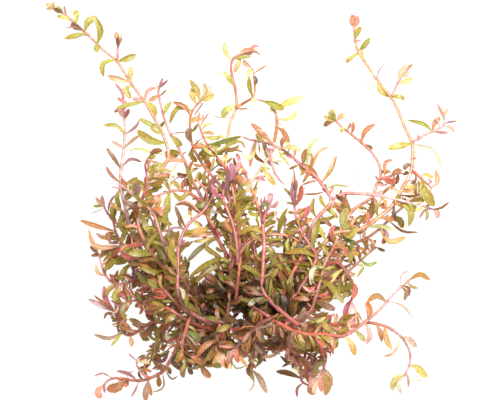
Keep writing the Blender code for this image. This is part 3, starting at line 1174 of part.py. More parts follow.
class Garden:
    """The stems and the leaves placed so far, to find room for the next leaf."""

    def __init__(self, paths):
        self.paths = paths
        self.names = list(paths)
        self.tubes = {name: tube_tree(path, path.lengths) for name, path in paths.items()}
        self.tube_boxes = [self.tube_box(paths[name]) for name in self.names]
        self.leaves = []
        self.owners = []
        self.boxes = []

    @staticmethod
    def tube_box(path):
        thick = path.radii.max() * 1.2
        return np.concatenate([path.points.min(axis=0) - thick, path.points.max(axis=0) + thick])

    def has_room(self, name, leaf):
        """Return whether the leaf misses every other stem and leaf and its own stem further on."""
        for k in boxes_meet(leaf.box, self.tube_boxes):
            other = self.names[k]
            if other != name and leaf.whole.overlap(self.tubes[other]):
                return False
        if not self.clears_own_stem(self.paths[name], leaf):
            return False
        if self.boxes:
            for k in boxes_meet(leaf.box, self.boxes):
                other = self.leaves[k]
                same = self.owners[k] == name and abs(other.spot - leaf.spot) < 1e-6
                pair = (leaf.outer, other.outer) if same else (leaf.whole, other.whole)
                if pair[0].overlap(pair[1]):
                    return False
        return True

    @staticmethod
    def clears_own_stem(path, leaf):
        """Return whether the leaf stays off its own stem away from where it grows."""
        base = frame_at(path, leaf.spot)[0]
        middle = (base + leaf.tip) / 2
        if leaf.middle:
            middle = np.mean(leaf.middle, axis=0)
        places = np.array([middle, (middle + leaf.tip) / 2, leaf.tip])
        away = np.linalg.norm(places[:, None, :] - path.points[None, :, :], axis=2)
        far = np.abs(path.lengths - leaf.spot) > 0.003
        widths = np.array([leaf.thick, leaf.thick * 0.6, 0.0])
        need = path.radii[None, :] * 1.13 + np.minimum(widths, 0.0012)[:, None] + LEAF_GAP
        return bool((away[:, far] > need[:, far]).all())

    def misses_tubes(self, name, leaf, tubes):
        """Return whether the leaf stays off the other stems' straight-sided bodies."""
        near = [self.names[k] for k in boxes_meet(leaf.box, self.tube_boxes)]
        return not any(leaf.whole.overlap(tubes[other]) for other in near if other != name)

    def add(self, name, leaf):
        self.leaves.append(leaf)
        self.owners.append(name)
        self.boxes.append(leaf.box)


def nodes_near(nodes, spot, end):
    """Return the place of the leaf node that a leaf at this length joins or starts, if any."""
    spacing = NODE_SPACING
    if end - spot < TIP_LENGTH:
        spacing = TIP_SPACING
    close = [node for node in nodes if abs(node - spot) < spacing]
    if not close:
        return [spot]
    return sorted(close, key=lambda node: abs(node - spot))


def free_faces(path, nodes, spot, direction):
    """Return the free stem faces at a node that look the leaf's way, the best first."""
    normals = face_normals(path, spot)
    scores = [normal.dot(direction) for normal in normals]
    taken = nodes.get(spot, set())
    faces = [k for k in range(4) if k not in taken and scores[k] > -0.25]
    return sorted(faces, key=lambda k: -scores[k])


def try_leaf(garden, name, nodes, spot, rise_choices, middle_plan, tip_plan, width, chance):
    """Place one leaf with the first rise that leaves it clear of everything, and say if it was."""
    path = garden.paths[name]
    ends = path.lengths[-1]
    spot = min(max(spot, NODE_LENGTH), ends - NODE_LENGTH)
    for node in nodes_near(nodes, spot, ends):
        for rise in rise_choices:
            start = frame_at(path, node)[0]
            reach = np.linalg.norm(tip_plan - start[:2])
            half_way = np.linalg.norm(middle_plan - start[:2])
            arch = 0.12 * reach
            high = start[2] + half_way * math.tan(rise) + arch
            middle = np.array([*middle_plan, max(high, LEAF_THICK)])
            tip = np.array([*tip_plan, max(start[2] + reach * math.tan(rise), 0.0)])
            toward = middle - start
            toward /= np.linalg.norm(toward)
            roll = chance.uniform(-0.35, 0.35)
            for face in free_faces(path, nodes, node, toward)[:2]:
                leaf = shaped_leaf(path, node, face, middle, tip, width, roll)
                if leaf.middle and min(corner[2] for corner in leaf.middle) < 0.0:
                    continue
                if garden.has_room(name, leaf):
                    nodes.setdefault(node, set()).add(face)
                    garden.add(name, leaf)
                    return True
    return False


def traced_leaves(garden, stem, nodes, chance):
    """Place the leaves of a stem that have a known place in the table."""
    path = garden.paths[stem.name]
    missed = 0
    for places, width, _ in stem.leaves:
        plan = [np.array(flat(place)) for place in places]
        away = np.linalg.norm(path.points[:, :2] - plan[0], axis=1)
        spot = path.lengths[away.argmin()]
        line = even_samples(np.array([frame_at(path, spot)[0][:2]] + plan[1:]), SAMPLE)
        middle_plan = line[len(line) // 2]
        first = chance.uniform(-0.1, 0.55)
        rises = [first, 0.2, 0.5, -0.2, 0.8, -0.45, 1.0, -0.7]
        wide = max(width, 2) * SPAN
        if not try_leaf(garden, stem.name, nodes, spot, rises, middle_plan, line[-1], wide, chance):
            missed += 1
    return missed


def in_thicket(plan):
    """Return whether a place seen from above lies in the thick of the bunch and in no hole."""
    u = plan[0] / SPAN + ORIGIN_U
    v = ORIGIN_V - plan[1] / SPAN
    inside = False
    for k, (u1, v1) in enumerate(THICKET):
        u0, v0 = THICKET[k - 1]
        if (v0 > v) != (v1 > v) and u < u0 + (u1 - u0) * (v - v0) / (v1 - v0):
            inside = not inside
    clear = all(math.hypot(u - hole[0], v - hole[1]) > hole[2] for hole in HOLES)
    return inside and clear


def paired_leaves(garden, stem, nodes, chance):
    """Fill a stem's bare lengths in the thick of the bunch with opposite pairs of leaves."""
    path = garden.paths[stem.name]
    turn = chance.uniform(0.0, math.pi)
    spot = 0.006
    made = 0
    while spot < path.lengths[-1] - 0.004:
        if all(abs(node - spot) > 0.55 * PAIR_SPACING for node in nodes):
            _, along, side, up, radius = frame_at(path, spot)
            for half_turn in (0.0, math.pi):
                around = turn + half_turn
                outward = side * math.cos(around) + up * math.sin(around)
                toward = outward * 0.8 + along * 0.6
                length = chance.uniform(0.008, 0.0125)
                tip = frame_at(path, spot)[0] + toward * length
                middle = (frame_at(path, spot)[0] + tip) / 2
                if not in_thicket(tip[:2]) or not in_thicket(middle[:2]):
                    continue
                if np.linalg.norm(toward[:2]) < 0.25:
                    continue
                rise = math.atan2(toward[2], np.linalg.norm(toward[:2]))
                rises = [rise, rise * 0.5, 0.3, -0.3]
                wide = chance.uniform(0.0026, 0.004)
                made += try_leaf(garden, stem.name, nodes, spot, rises, middle[:2], tip[:2], wide,
                                 chance)
            turn += math.pi / 2
        spot += PAIR_SPACING
    return made


def stations(path, nodes):
    """Return the lengths along the stem at which its body has a section."""
    fixed = [0.0, path.lengths[-1]]
    for node in nodes:
        fixed += [node - NODE_LENGTH / 2, node + NODE_LENGTH / 2]
    fixed = sorted(fixed)
    result = [fixed[0]]
    for end in fixed[1:]:
        result += bends_between(path, result[-1], end)
        result.append(end)
    return result


def bends_between(path, start, end):
    """Return the lengths between two sections where the stem bends off the straight line."""
    if end - start < 0.003:
        return []
    inside = (path.lengths > start + 0.001) & (path.lengths < end - 0.001)
    if not inside.any():
        return []
    a = frame_at(path, start)[0]
    b = frame_at(path, end)[0]
    line = (b - a) / np.linalg.norm(b - a)
    offset = path.points[inside] - a
    off = np.linalg.norm(offset - np.outer(offset.dot(line), line), axis=1)
    if off.max() < BEND_ALLOWED:
        return []
    at = path.lengths[inside][off.argmax()]
    return bends_between(path, start, at) + [at] + bends_between(path, at, end)


def next_ring(bm, cap, ring, corners):
    """Extrude the stem's end face to the next section and return its new end face and ring."""
    made = bmesh.ops.extrude_face_region(bm, geom=[cap, *cap.edges])["geom"]
    fresh = [item for item in made if isinstance(item, bmesh.types.BMFace)][0]
    verts = set(fresh.verts)
    following = []
    for vert in ring:
        following.append([e.other_vert(vert) for e in vert.link_edges if e.other_vert(vert) in verts][0])
    for vert, corner in zip(following, corners):
        vert.co = corner
    return fresh, following


def side_face(ring, following, k):
    """Return the face between two rings on one side of the stem."""
    wanted = {ring[k], ring[(k + 1) % 4], following[k], following[(k + 1) % 4]}
    return [face for face in ring[k].link_faces if set(face.verts) == wanted][0]


def grow_leaf(bm, face, leaf):
    """Extrude a face of the stem into a leaf. A narrow leaf tapers from the face to its tip."""
    if not leaf.middle:
        bmesh.ops.poke(bm, faces=[face])["verts"][0].co = leaf.tip
        return
    made = bmesh.ops.extrude_face_region(bm, geom=[face, *face.edges])["geom"]
    fresh = [item for item in made if isinstance(item, bmesh.types.BMFace)][0]
    start = [np.array(vert.co) for vert in fresh.verts]
    for vert, corner in zip(list(fresh.verts), turned_to(start, list(leaf.middle))):
        vert.co = corner
    tip = bmesh.ops.poke(bm, faces=[fresh])["verts"][0]
    tip.co = leaf.tip


def stem_mesh(name, path, nodes, leaves):
    """Return the mesh of one stem with the leaves that grow on it."""
    places = stations(path, nodes)
    bm = bmesh.new()
    ring = bmesh.ops.create_circle(bm, cap_ends=True, segments=4, radius=path.radii[0])["verts"]
    cap = bm.faces[:][0]
    for vert, corner in zip(ring, ring_corners(path, places[0])):
        vert.co = corner
    sides = {}
    for at in places[1:]:
        cap, following = next_ring(bm, cap, ring, ring_corners(path, at))
        for node in nodes:
            if abs(at - node - NODE_LENGTH / 2) < 1e-7:
                sides[node] = [side_face(ring, following, k) for k in range(4)]
        ring = following
    tip = bmesh.ops.poke(bm, faces=[cap])["verts"][0]
    tip.co = path.points[-1] + path.tangents[-1] * path.radii[-1]
    for leaf in leaves:
        grow_leaf(bm, sides[leaf.spot][leaf.face], leaf)
    bmesh.ops.recalc_face_normals(bm, faces=bm.faces)
    if bm.calc_volume(signed=True) < 0.0:
        bmesh.ops.reverse_faces(bm, faces=bm.faces)
    mesh = bpy.data.meshes.new(name)
    bm.to_mesh(mesh)
    bm.free()
    return mesh


def linear(colour):
    """Return a colour as light values, from the values that a screen shows."""
    return [c / 12.92 if c <= 0.04045 else ((c + 0.055) / 1.055) ** 2.4 for c in colour]


def stem_material(stem):
    """Return the stem's own material."""
    material = bpy.data.materials.new(stem.name)
    material.use_nodes = True
    shader = material.node_tree.nodes["Principled BSDF"]
    shader.inputs["Base Color"].default_value = (*linear(STEM_COLOURS[stem.tone]), 1.0)
    shader.inputs["Roughness"].default_value = 0.5
    shader.inputs["Metallic"].default_value = 0.0
    return material


def triangles_of(paths, grown):
    """Return how many triangles the stems and their leaves take."""
    total = 0
    for name, leaves in grown.items():
        nodes = sorted({leaf.spot for leaf in leaves})
        total += 8 * (len(stations(paths[name], nodes)) - 1) + 6
        total += sum(10 if leaf.middle else 2 for leaf in leaves)
    return total


def main():
    for obj in list(bpy.data.objects):
        bpy.data.objects.remove(obj)
    bunch = bpy.data.collections.new("rotala")
    bpy.context.scene.collection.children.link(bunch)
    paths = lay_stems()
    garden = Garden(paths)
    nodes = {stem.name: {} for stem in STEMS}
    order = sorted(STEMS, key=lambda stem: -len(stem.leaves))
    missed = 0
    for stem in order:
        missed += traced_leaves(garden, stem, nodes[stem.name], random.Random(stem.name))
    grown = {stem.name: [] for stem in STEMS}
    placed = 0
    for stem in order:
        paired_leaves(garden, stem, nodes[stem.name], random.Random(stem.name + " pairs"))
        for leaf, owner in zip(garden.leaves[placed:], garden.owners[placed:]):
            grown[owner].append(leaf)
        placed = len(garden.leaves)
        if triangles_of(paths, grown) > TRIANGLES_AIM:
            break
    joints = {name: sorted({leaf.spot for leaf in leaves}) for name, leaves in grown.items()}
    bodies = {name: tube_tree(paths[name], stations(paths[name], joints[name])) for name in paths}
    for name, leaves in grown.items():
        grown[name] = [leaf for leaf in leaves if garden.misses_tubes(name, leaf, bodies)]
    print(sum(len(leaves) for leaves in grown.values()), "leaves,", missed, "left out")
    for stem in STEMS:
        mesh = stem_mesh(stem.name, paths[stem.name], joints[stem.name], grown[stem.name])
        mesh.materials.append(stem_material(stem))
        obj = bpy.data.objects.new(stem.name, mesh)
        bunch.objects.link(obj)


if __name__ == "__main__":
    main()
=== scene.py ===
"""The looks of a lying bunch of rotala, a stem plant for aquariums.

Run it as a script in Blender. Every stem of the bunch becomes one piece: its stalk, the leaves
that have a known place on it, and opposite pairs of leaves that fill it in the thick of the
bunch. The high stems, the low stems, the side shoots and the stage each have an operator of
their own, and their sizes and colours stand in the sidebar.
"""

import json
import math
import random
from collections import namedtuple

import bpy
import numpy as np
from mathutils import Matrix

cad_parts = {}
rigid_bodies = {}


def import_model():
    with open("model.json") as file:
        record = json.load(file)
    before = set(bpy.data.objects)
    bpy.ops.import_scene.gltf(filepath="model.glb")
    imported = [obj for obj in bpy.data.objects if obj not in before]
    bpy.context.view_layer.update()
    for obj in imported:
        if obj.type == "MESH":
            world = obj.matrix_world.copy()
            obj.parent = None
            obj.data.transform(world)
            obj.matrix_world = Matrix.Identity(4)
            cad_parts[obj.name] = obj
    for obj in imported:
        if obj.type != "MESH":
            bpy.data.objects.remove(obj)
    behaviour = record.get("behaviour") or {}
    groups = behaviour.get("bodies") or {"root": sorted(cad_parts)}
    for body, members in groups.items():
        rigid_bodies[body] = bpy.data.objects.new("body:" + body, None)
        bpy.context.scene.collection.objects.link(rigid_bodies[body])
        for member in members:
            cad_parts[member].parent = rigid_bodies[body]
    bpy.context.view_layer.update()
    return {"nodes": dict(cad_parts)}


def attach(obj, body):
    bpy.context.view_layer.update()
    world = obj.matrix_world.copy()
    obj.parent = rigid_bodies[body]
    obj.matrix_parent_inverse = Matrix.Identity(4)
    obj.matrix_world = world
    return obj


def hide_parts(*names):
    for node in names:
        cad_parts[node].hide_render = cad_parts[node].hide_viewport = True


bl_info = {
    "name": "Rotala Bunch",
    "version": (1, 0, 0),
    "blender": (4, 5, 0),
    "location": "View3D > Sidebar > Rotala",
    "description": "Dresses the stems of a lying bunch of rotala with stalks and leaves",
    "category": "Object",
}

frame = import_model()

# One span, the unit of the tables below, is the size that makes a rotala stem about 2 mm thick and
# its leaves 8 to 15 mm long. The origin's own place in the tables is in spans too.
SPAN = 0.0005
MM = 0.001
ORIGIN_U = 251.0
ORIGIN_V = 200.5

# How the stems are laid, in metres: the distance between samples, the gap over a crossed stem and
# the gap over the parent.
SAMPLE = 0.001
STEM_GAP = 0.0019
FORK_GAP = 0.00035
# A stem's tip is this thick, as a share of its foot, and it thins late by this power.
TIP_SHARE = 0.5
THINNING = 1.3
# The straight steps between two knots of a route, before its samples are spaced evenly.
KNOT_STEPS = 8
# How many samples on each side these are smoothed over: a stem's bends, its rise off its parent,
# its rise over the stems that it crosses, and its whole height.
BEND_REACH = 2
FORK_REACH = 1
CROSSING_REACH = 4
HEIGHT_REACH = 2
# The middle height, in mm, from which a stem counts as a high one.
HIGH_STEM = 24

# One stem: its name, its thickness at the foot (mm), its height above the ground at foot, middle
# and tip (mm), its colour, the stem it forks from, its route seen from above from foot to tip,
# and the leaves that have a known place. A leaf's words are its colour, the width of its blade and
# the points of its midrib from base to tip. Routes, midribs and widths are in spans, SPAN metres
# each.
Stem = namedtuple("Stem", "name girth heights tone parent route leaves")

STEMS = (
    Stem("stem_far_left", 2.0, (30, 22, -4), "salmon", None, (
        (228, 318), (205, 308), (190, 295), (177, 281), (161, 264), (152, 252), (145, 240), (139, 225),
        (140, 210), (144, 196), (151, 184), (160, 172), (168, 161), (169, 152), (166, 142), (162, 131),
        (156, 121), (151, 112), (145, 102), (139, 94), (132, 84), (124, 72), (118, 62), (108, 54),
        (98, 45), (92, 39), (86, 33), (78, 26), (72, 21), (65, 14), (56, 10), (49, 6),
    ), (
        "brown 5 63,12 54,8", "lime 4 63,13 57,6", "brown 2 66,15 64,6", "peach 4 52,8 46,9",
        "yellow 5 52,7 46,3", "pink 3 54,9 53,1", "lime 4 69,20 57,16", "lime 6 79,23 76,10",
        "brown 6 84,31 71,24", "mauve 3 80,27 65,28", "olive 6 85,34 65,39", "brown 3 87,38 73,34",
        "olive 7 85,31 88,22 97,17", "olive 7 99,43 101,31 96,18", "olive 6 98,45 97,53",
        "olive 7 119,60 136,55", "lime 6 116,62 104,64 104,77", "peach 7 130,84 120,80 108,76",
        "yellow 5 133,83 131,67", "olive 6 133,86 126,89 131,99", "pink 6 144,101 133,100",
        "olive 5 144,103 132,105 117,109", "peach 5 145,101 148,92 157,88",
        "lime 6 148,100 154,108 154,119", "olive 8 162,134 151,126", "leek 5 160,127 150,124 140,119",
        "olive 8 165,144 152,141 138,131", "olive 8 168,162 160,166 150,174",
        "peach 5 168,163 176,160 186,162", "leek 2.5 169,155 152,153 140,149 129,152",
        "olive 7 139,212 145,222 150,234", "olive 7 138,228 152,232 164,241",
        "olive 8 145,240 158,246 166,262",
    )),
    Stem("shoot_far_left_bud", 1.2, (6, 7, 8), "pink", "stem_far_left", (
        (118, 60), (118, 55), (118, 49), (119, 43), (118, 37), (117, 33),
    ), (
        "brown 5 118,49 119,38", "peach 5 119,42 116,32", "pale 2 119,43 124,32", "rust 3 119,46 122,38",
    )),
    Stem("stem_left_pink", 2.0, (40, 30, 1), "rose", None, (
        (236, 312), (226, 300), (219, 288), (221, 277), (225, 266), (227, 255), (221, 244), (215, 233),
        (210, 222), (206, 210), (203, 200), (198, 190), (193, 181), (189, 172), (185, 161), (182, 155),
        (178, 146), (173, 138), (169, 130), (165, 120), (162, 110), (160, 100), (158, 92), (160, 85),
    ), (
        "mauve 3 159,90 163,78", "mauve 3 160,88 168,80", "peach 2 158,92 156,80",
        "brown 2 160,97 167,90", "pale 1.5 161,98 178,88", "rust 5 158,96 149,101",
        "lime 7 162,116 172,102", "rust 1.5 171,134 187,132", "olive 7 171,137 182,146",
        "olive 6 186,163 190,175 192,186", "olive 6 210,222 205,232 206,242",
        "rust 4 212,236 200,235 188,236", "yellow 5 212,238 205,240 194,241",
        "pale 7 216,238 200,248 187,262", "olive 6 214,236 206,246 222,257",
        "olive 6 222,246 228,240 222,228 212,216", "olive 7 227,256 210,262 191,275",
        "olive 7 225,262 208,270 196,282", "olive 8 228,257 240,266 248,274",
        "black 4 222,262 216,261 211,264", "deep 5 229,254 233,257 238,260",
        "olive 7 230,253 238,254 246,249",
    )),
    Stem("shoot_yellow", 1.9, (46, 36, 1), "salmon", None, (
        (250, 304), (254, 288), (256, 272), (256, 256), (252, 240), (244, 225), (236, 213), (229, 200),
        (222, 188), (215, 179), (206, 169), (199, 158), (193, 147), (191, 136), (190, 122), (192, 112),
        (197, 105), (200, 101),
    ), (
        "yellow 6 200,101 197,90 190,80", "yellow 7 197,106 193,97 195,86",
        "yellow 6 200,101 208,98 214,94", "yellow 5 201,101 205,92 204,82",
        "peach 4 203,100 209,94 210,86", "brown 2 197,104 203,103 194,116",
        "rust 5 190,116 184,106 173,102", "yellow 4 192,111 184,106 176,107",
        "olive 6 188,110 178,109 170,124", "brown 7 192,143 189,135 191,128", "olive 4 193,133 199,124",
        "olive 7 194,149 192,156 197,162", "rust 7 200,158 207,160 211,170",
        "olive 5 206,169 204,178 206,184", "mauve 8 217,180 212,186 212,198",
    )),
    Stem("stem_red_mid_left", 1.8, (48, 42, 24), "coral", None, (
        (236, 298), (238, 280), (240, 262), (240, 244), (238, 226), (236, 210), (234, 196), (231, 182),
        (226, 169), (220, 161), (214, 153), (208, 146), (203, 136), (200, 127),
    ), (
        "salmon 5 200,127 198,120 200,112", "peach 4 202,127 204,121 203,115",
        "brown 1.6 203,127 209,113", "yellow 5 204,129 208,125 213,126",
        "amber 5 204,133 209,133 214,135", "lime 6 206,137 214,139 221,137",
        "green 6 212,143 226,142 242,137", "yellow 6 213,144 216,147 221,145",
        "lime 4.5 230,143 238,141 246,149", "bronze 5 217,151 230,150 243,153",
        "brown 6 212,150 206,150 202,152", "olive 6 209,150 205,155 202,161",
        "brown 3 201,139 194,146 188,157", "black 2 226,166 218,166 211,172",
        "mauve 8 231,184 236,177 236,167", "mauve 7 228,178 225,186 222,192",
    )),
    Stem("stem_magenta", 2.1, (52, 50, 40), "magenta", None, (
        (232, 322), (218, 320), (205, 318), (195, 313), (187, 306), (181, 297), (178, 284), (179, 275),
        (179, 262), (179, 247), (182, 238), (186, 228), (193, 220), (201, 214), (207, 207), (212, 199),
        (215, 191),
    ), (
        "brown 8 221,320 228,317 239,321", "olive 7 231,322 225,326 217,329",
        "mauve 8 214,196 212,186 217,175", "pink 5 213,200 218,190 224,183",
        "brown 5 199,213 187,204 176,205", "brown 5 186,227 180,216 176,206",
        "pale 3 199,215 190,216 181,217", "pink 3 200,211 190,203 178,201", "yellow 4 193,221 201,227",
        "mauve 3 184,229 176,227 165,232", "mauve 3 180,247 186,239", "olive 9 178,268 172,253 174,239",
        "brown 3 178,246 174,236", "brown 3 179,264 185,275 191,281", "pale 5 180,285 184,290 185,298",
        "olive 5 182,298 189,302 197,309", "lime 5 205,320 212,316 218,318",
    )),
    Stem("stem_pale_left", 2.3, (26, 14, 0), "blush", None, (
        (206, 312), (186, 300), (170, 285), (158, 272), (146, 258), (139, 244), (134, 232), (129, 220),
        (126, 208), (123, 196), (121, 186), (121, 176), (122, 163), (124, 150), (125, 136), (125, 122),
        (124, 112), (121, 106),
    ), (
        "peach 5 125,118 119,108", "magenta 4 126,118 129,109", "pink 4 124,112 126,104 117,98",
        "mauve 3 122,108 114,112", "pink 3 126,109 123,94 115,83", "olive 4 124,135 117,126 104,125",
        "mauve 3 127,135 136,127 140,119", "pink 3 122,147 112,141", "peach 4 130,149 134,139 142,134",
        "brown 4 121,169 114,158 107,148", "mauve 3 122,168 131,159 142,162",
        "salmon 6 119,184 113,175 107,166", "rust 5 121,178 125,183 128,191",
        "olive 6 119,188 117,198 121,209", "olive 7 127,213 121,220 126,230",
        "olive 6 133,226 126,232 122,242",
    )),
    Stem("stem_left_inner", 2.0, (34, 36, 30), "salmon", None, (
        (190, 290), (178, 270), (167, 250), (160, 230), (155, 214), (148, 207), (141, 200), (133, 194),
        (126, 188), (119, 184),
    ), (
        "olive 5 147,182 138,179 129,183", "pale 4 131,192 129,185 142,185", "mauve 8 135,195 141,184",
        "olive 7 131,196 140,199 150,206", "rust 6 152,205 160,210 163,216",
        "olive 6 156,220 164,221 173,225", "pink 4 155,216 158,210 164,207",
        "olive 7 160,232 152,240 147,252",
    )),
    Stem("shoot_left_hook", 1.4, (6, 9, 10), "magenta", "stem_far_left", (
        (144, 197), (147, 188), (148, 178), (146, 168), (146, 162), (150, 157),
    ), (
        "brown 7 150,157 155,152 163,151", "olive 6 149,159 157,156", "peach 3 148,161 160,163",
        "rust 4 146,165 150,160 148,172",
    )),
    Stem("stem_left_tip", 1.6, (16, 11, -3), "magenta", None, (
        (176, 296), (166, 280), (158, 262), (148, 248), (140, 238), (132, 232), (127, 229), (119, 225),
        (113, 219), (107, 213), (104, 206),
    ), (
        "pink 5 104,207 102,195", "peach 5 103,208 96,197", "pale 2 103,208 90,214",
        "olive 3 103,207 93,206", "mauve 3 108,213 110,203 115,195", "lime 5 113,219 112,210 115,203",
        "olive 6 121,226 124,218 121,211", "olive 6 148,247 143,256 141,268",
    )),
    Stem("stem_left_spread", 1.8, (10, 8, -3), "salmon", None, (
        (182, 306), (166, 300), (150, 288), (138, 270), (130, 254), (121, 242), (115, 230), (113, 218),
    ), (
        "rust 5 114,232 97,226 80,220", "lime 5 114,224 112,214 113,204",
        "mauve 4 113,236 104,238 96,233", "peach 5 119,249 96,246 89,229",
        "pink 4 116,246 110,242 109,231", "olive 4 120,250 110,254 103,262",
        "olive 6 127,258 113,262 105,270", "rust 6 130,254 131,245 128,236",
        "lime 7 134,264 126,268 123,280", "mauve 6 140,274 134,268 134,262",
    )),
    Stem("stem_left_hook_low", 1.9, (20, 12, -4), "coral", None, (
        (188, 312), (172, 300), (160, 291), (153, 287), (146, 281), (139, 277), (130, 282), (122, 284),
        (116, 284), (110, 281), (104, 272), (101, 262), (98, 253),
    ), (
        "mauve 4 99,254 90,246", "brown 4 99,255 91,256", "peach 4 99,253 96,243",
        "olive 3 100,254 108,252", "peach 4 105,276 98,273 96,264", "olive 6 104,270 110,266 112,258",
        "rust 6 110,281 116,277 118,270", "lime 5 115,285 109,288 107,296",
        "lime 7 124,284 122,276 126,268", "mauve 6 131,281 135,275 134,268",
        "rust 6 146,281 157,284 165,290",
    )),
    Stem("stem_left_lilac", 2.1, (30, 15, -1), "coral", None, (
        (206, 330), (190, 328), (172, 324), (158, 321), (150, 323), (140, 330), (131, 335), (124, 334),
        (121, 328), (118, 320), (115, 312),
    ), (
        "magenta 5.5 113,312 106,300 104,286", "lilac 5 112,311 99,304 88,299",
        "lilac 6 116,313 117,301 121,291", "mauve 3 117,318 119,334", "mauve 3 114,315 107,313 104,319",
        "rust 3 108,305 100,300 94,295", "smoke 4 122,333 110,338 94,334", "lime 3 119,336 111,346",
        "peach 5 131,335 132,346", "pale 6 124,330 126,325 130,334", "lilac 8 117,320 119,312 121,302",
        "pink 5 150,323 140,324 131,320", "olive 7 150,323 158,332 157,343",
        "olive 5 141,330 144,338 150,339", "lime 8 160,321 168,322 166,310",
        "pale 8 171,325 177,322 184,320",
    )),
    Stem("stem_bottom_left_long", 2.1, (40, 20, -4), "salmon", None, (
        (172, 298), (178, 310), (183, 322), (181, 332), (179, 340), (177, 347), (173, 356), (168, 364),
        (163, 371), (156, 375), (149, 378), (143, 380), (133, 380), (121, 378), (112, 378), (106, 382),
        (102, 388),
    ), (
        "salmon 7 103,384 97,391 101,398", "mauve 3 104,385 105,393", "bronze 10 126,380 117,388 107,388",
        "coral 8 116,378 122,380 128,386", "mauve 2 112,378 103,373 94,376",
        "mauve 4 138,378 129,373 117,370", "mauve 3 139,381 136,388 131,397",
        "smoke 7 149,379 147,388 146,400", "rust 4 149,381 152,395", "smoke 2 164,372 164,386 153,391",
        "brown 6 159,376 160,386", "mauve 2 165,368 172,378 178,375", "peach 2 129,380 127,373 134,371",
        "lime 6 174,352 180,347 186,344", "pale 7 176,346 170,338 167,331",
        "deep 5 173,356 181,360 183,368", "black 4.5 170,362 178,366 186,371",
    )),
    Stem("stem_orange_low", 1.9, (50, 44, 14), "salmon", None, (
        (205, 303), (196, 310), (190, 318), (187, 328), (184, 337), (183, 345), (184, 353), (188, 360),
        (195, 363), (204, 363), (212, 361),
    ), (
        "rust 7 201,364 205,370 211,376", "lime 7 186,356 193,358", "deep 4 190,362 190,366 196,367",
        "brown 6 188,361 184,368 184,376", "brown 5 193,363 190,368 193,373",
        "deep 4.5 184,350 176,354 172,362", "green 8 187,330 196,333 200,340",
        "pink 6 184,343 194,342 201,343",
    )),
    Stem("shoot_low_left", 1.5, (14, 10, 6), "salmon", None, (
        (176, 346), (168, 341), (160, 341), (155, 345), (152, 350), (151, 356), (153, 361),
    ), (
        "rust 3 152,357 146,357 139,360", "olive 5 153,357 162,355 168,350",
        "mauve 5 153,361 163,361 169,349", "olive 3 153,348 146,351", "olive 4 158,342 152,337 147,331",
        "olive 5 152,360 157,365 163,367", "olive 7 166,341 160,336 154,324",
    )),
    Stem("shoot_low_left_tip", 1.3, (5, 6, 6), "pink", "stem_bottom_left_long", (
        (148, 377), (142, 372), (138, 366), (136, 361), (139, 357),
    ), (
        "mauve 2 136,361 129,353", "yellow 4 137,363 144,361 151,363", "rust 4 140,371 146,369 152,371",
        "brown 3 139,357 146,354", "mauve 2 138,366 144,370",
    )),
    Stem("stem_top_centre", 2.0, (30, 38, 0), "rose", None, (
        (224, 330), (228, 310), (230, 290), (231, 270), (231, 250), (231, 230), (231, 210), (229, 192),
        (227, 175), (226, 160), (227, 148), (228, 138), (229, 130), (231, 122), (234, 115), (237, 107),
        (236, 96), (235, 87), (232, 76), (231, 67), (232, 60), (237, 56), (243, 54), (250, 52),
    ), (
        "peach 6 238,55 245,50 255,50", "rust 5 240,55 248,54 253,51", "pink 4 250,51 253,47 259,47",
        "brown 2 252,52 256,52 260,55", "olive 4 232,60 240,58 251,57", "yellow 5 230,61 225,53 225,42",
        "yellow 5 235,60 240,60 234,73", "olive 5 234,88 230,80 224,73", "pale 3 231,74 224,74 218,76",
        "pale 1.5 235,89 245,88", "leek 7.5 235,106 229,109 222,117", "leek 1.2 230,116 221,118 212,116",
        "rust 2 238,110 248,109", "olive 5 228,148 222,152 216,152",
    )),
    Stem("shoot_arch_left", 1.5, (8, 11, 9), "rust", "stem_top_centre", (
        (237, 108), (243, 104), (249, 101), (254, 97), (255, 89), (254, 80), (254, 73), (252, 69),
    ), (
        "olive 5 252,98 250,89 249,78", "brown 5 255,87 256,82 254,77", "yellow 5 253,70 249,72 248,78",
        "rust 2 254,75 260,70 267,66", "pink 6 253,69 248,66 243,61", "yellow 4 254,99 255,106",
    )),
    Stem("shoot_arch_right", 1.6, (6, 10, 9), "rust", "stem_centre_long", (
        (274, 143), (276, 132), (277, 122), (275, 112), (271, 107), (264, 102), (256, 100),
    ), (
        "yellow 7 275,109 289,103 304,98", "lime 8 261,102 274,105 284,110",
        "yellow 4 277,120 291,119 297,110", "rust 5 276,127 283,132 289,143",
        "peach 2 278,123 282,127 285,134", "pale 1.5 275,134 265,132 256,130", "lime 3 272,108 271,114",
    )),
    Stem("stem_centre_long", 2.0, (34, 32, 8), "salmon", None, (
        (280, 300), (286, 286), (292, 272), (300, 258), (304, 246), (308, 234), (313, 223), (319, 215),
        (326, 208), (331, 201), (328, 194), (323, 187), (316, 177), (306, 169), (296, 161), (286, 152),
        (274, 146), (262, 142), (250, 140), (243, 137),
    ), (
        "rust 7 274,146 262,135 251,124", "yellow 6 266,143 260,139 256,134",
        "yellow 6 280,149 290,148 301,151", "lime 5 276,149 281,156 289,166",
        "mauve 3 276,149 271,150 265,149", "rust 5 281,150 282,142 286,137",
        "yellow 4 255,142 255,151 249,159 241,154", "rust 5 256,142 255,155 265,163",
        "pink 6 258,143 262,154 270,157", "lilac 7 262,143 267,158 273,167",
        "pale 5 264,143 271,158 279,165", "pink 3 268,145 274,172 285,186",
        "pink 4 255,144 251,158 250,167", "rust 6 303,167 304,155 308,149",
        "leek 3.5 306,168 310,146 320,138", "rust 5 309,171 311,158 308,152",
        "olive 6 303,167 299,166 304,174", "leek 6 302,165 305,168 310,176",
        "pink 4 296,161 290,157 284,153", "amber 4 311,173 306,177 302,183",
        "amber 3 310,172 317,154 328,147", "amber 9 300,163 308,167 317,178",
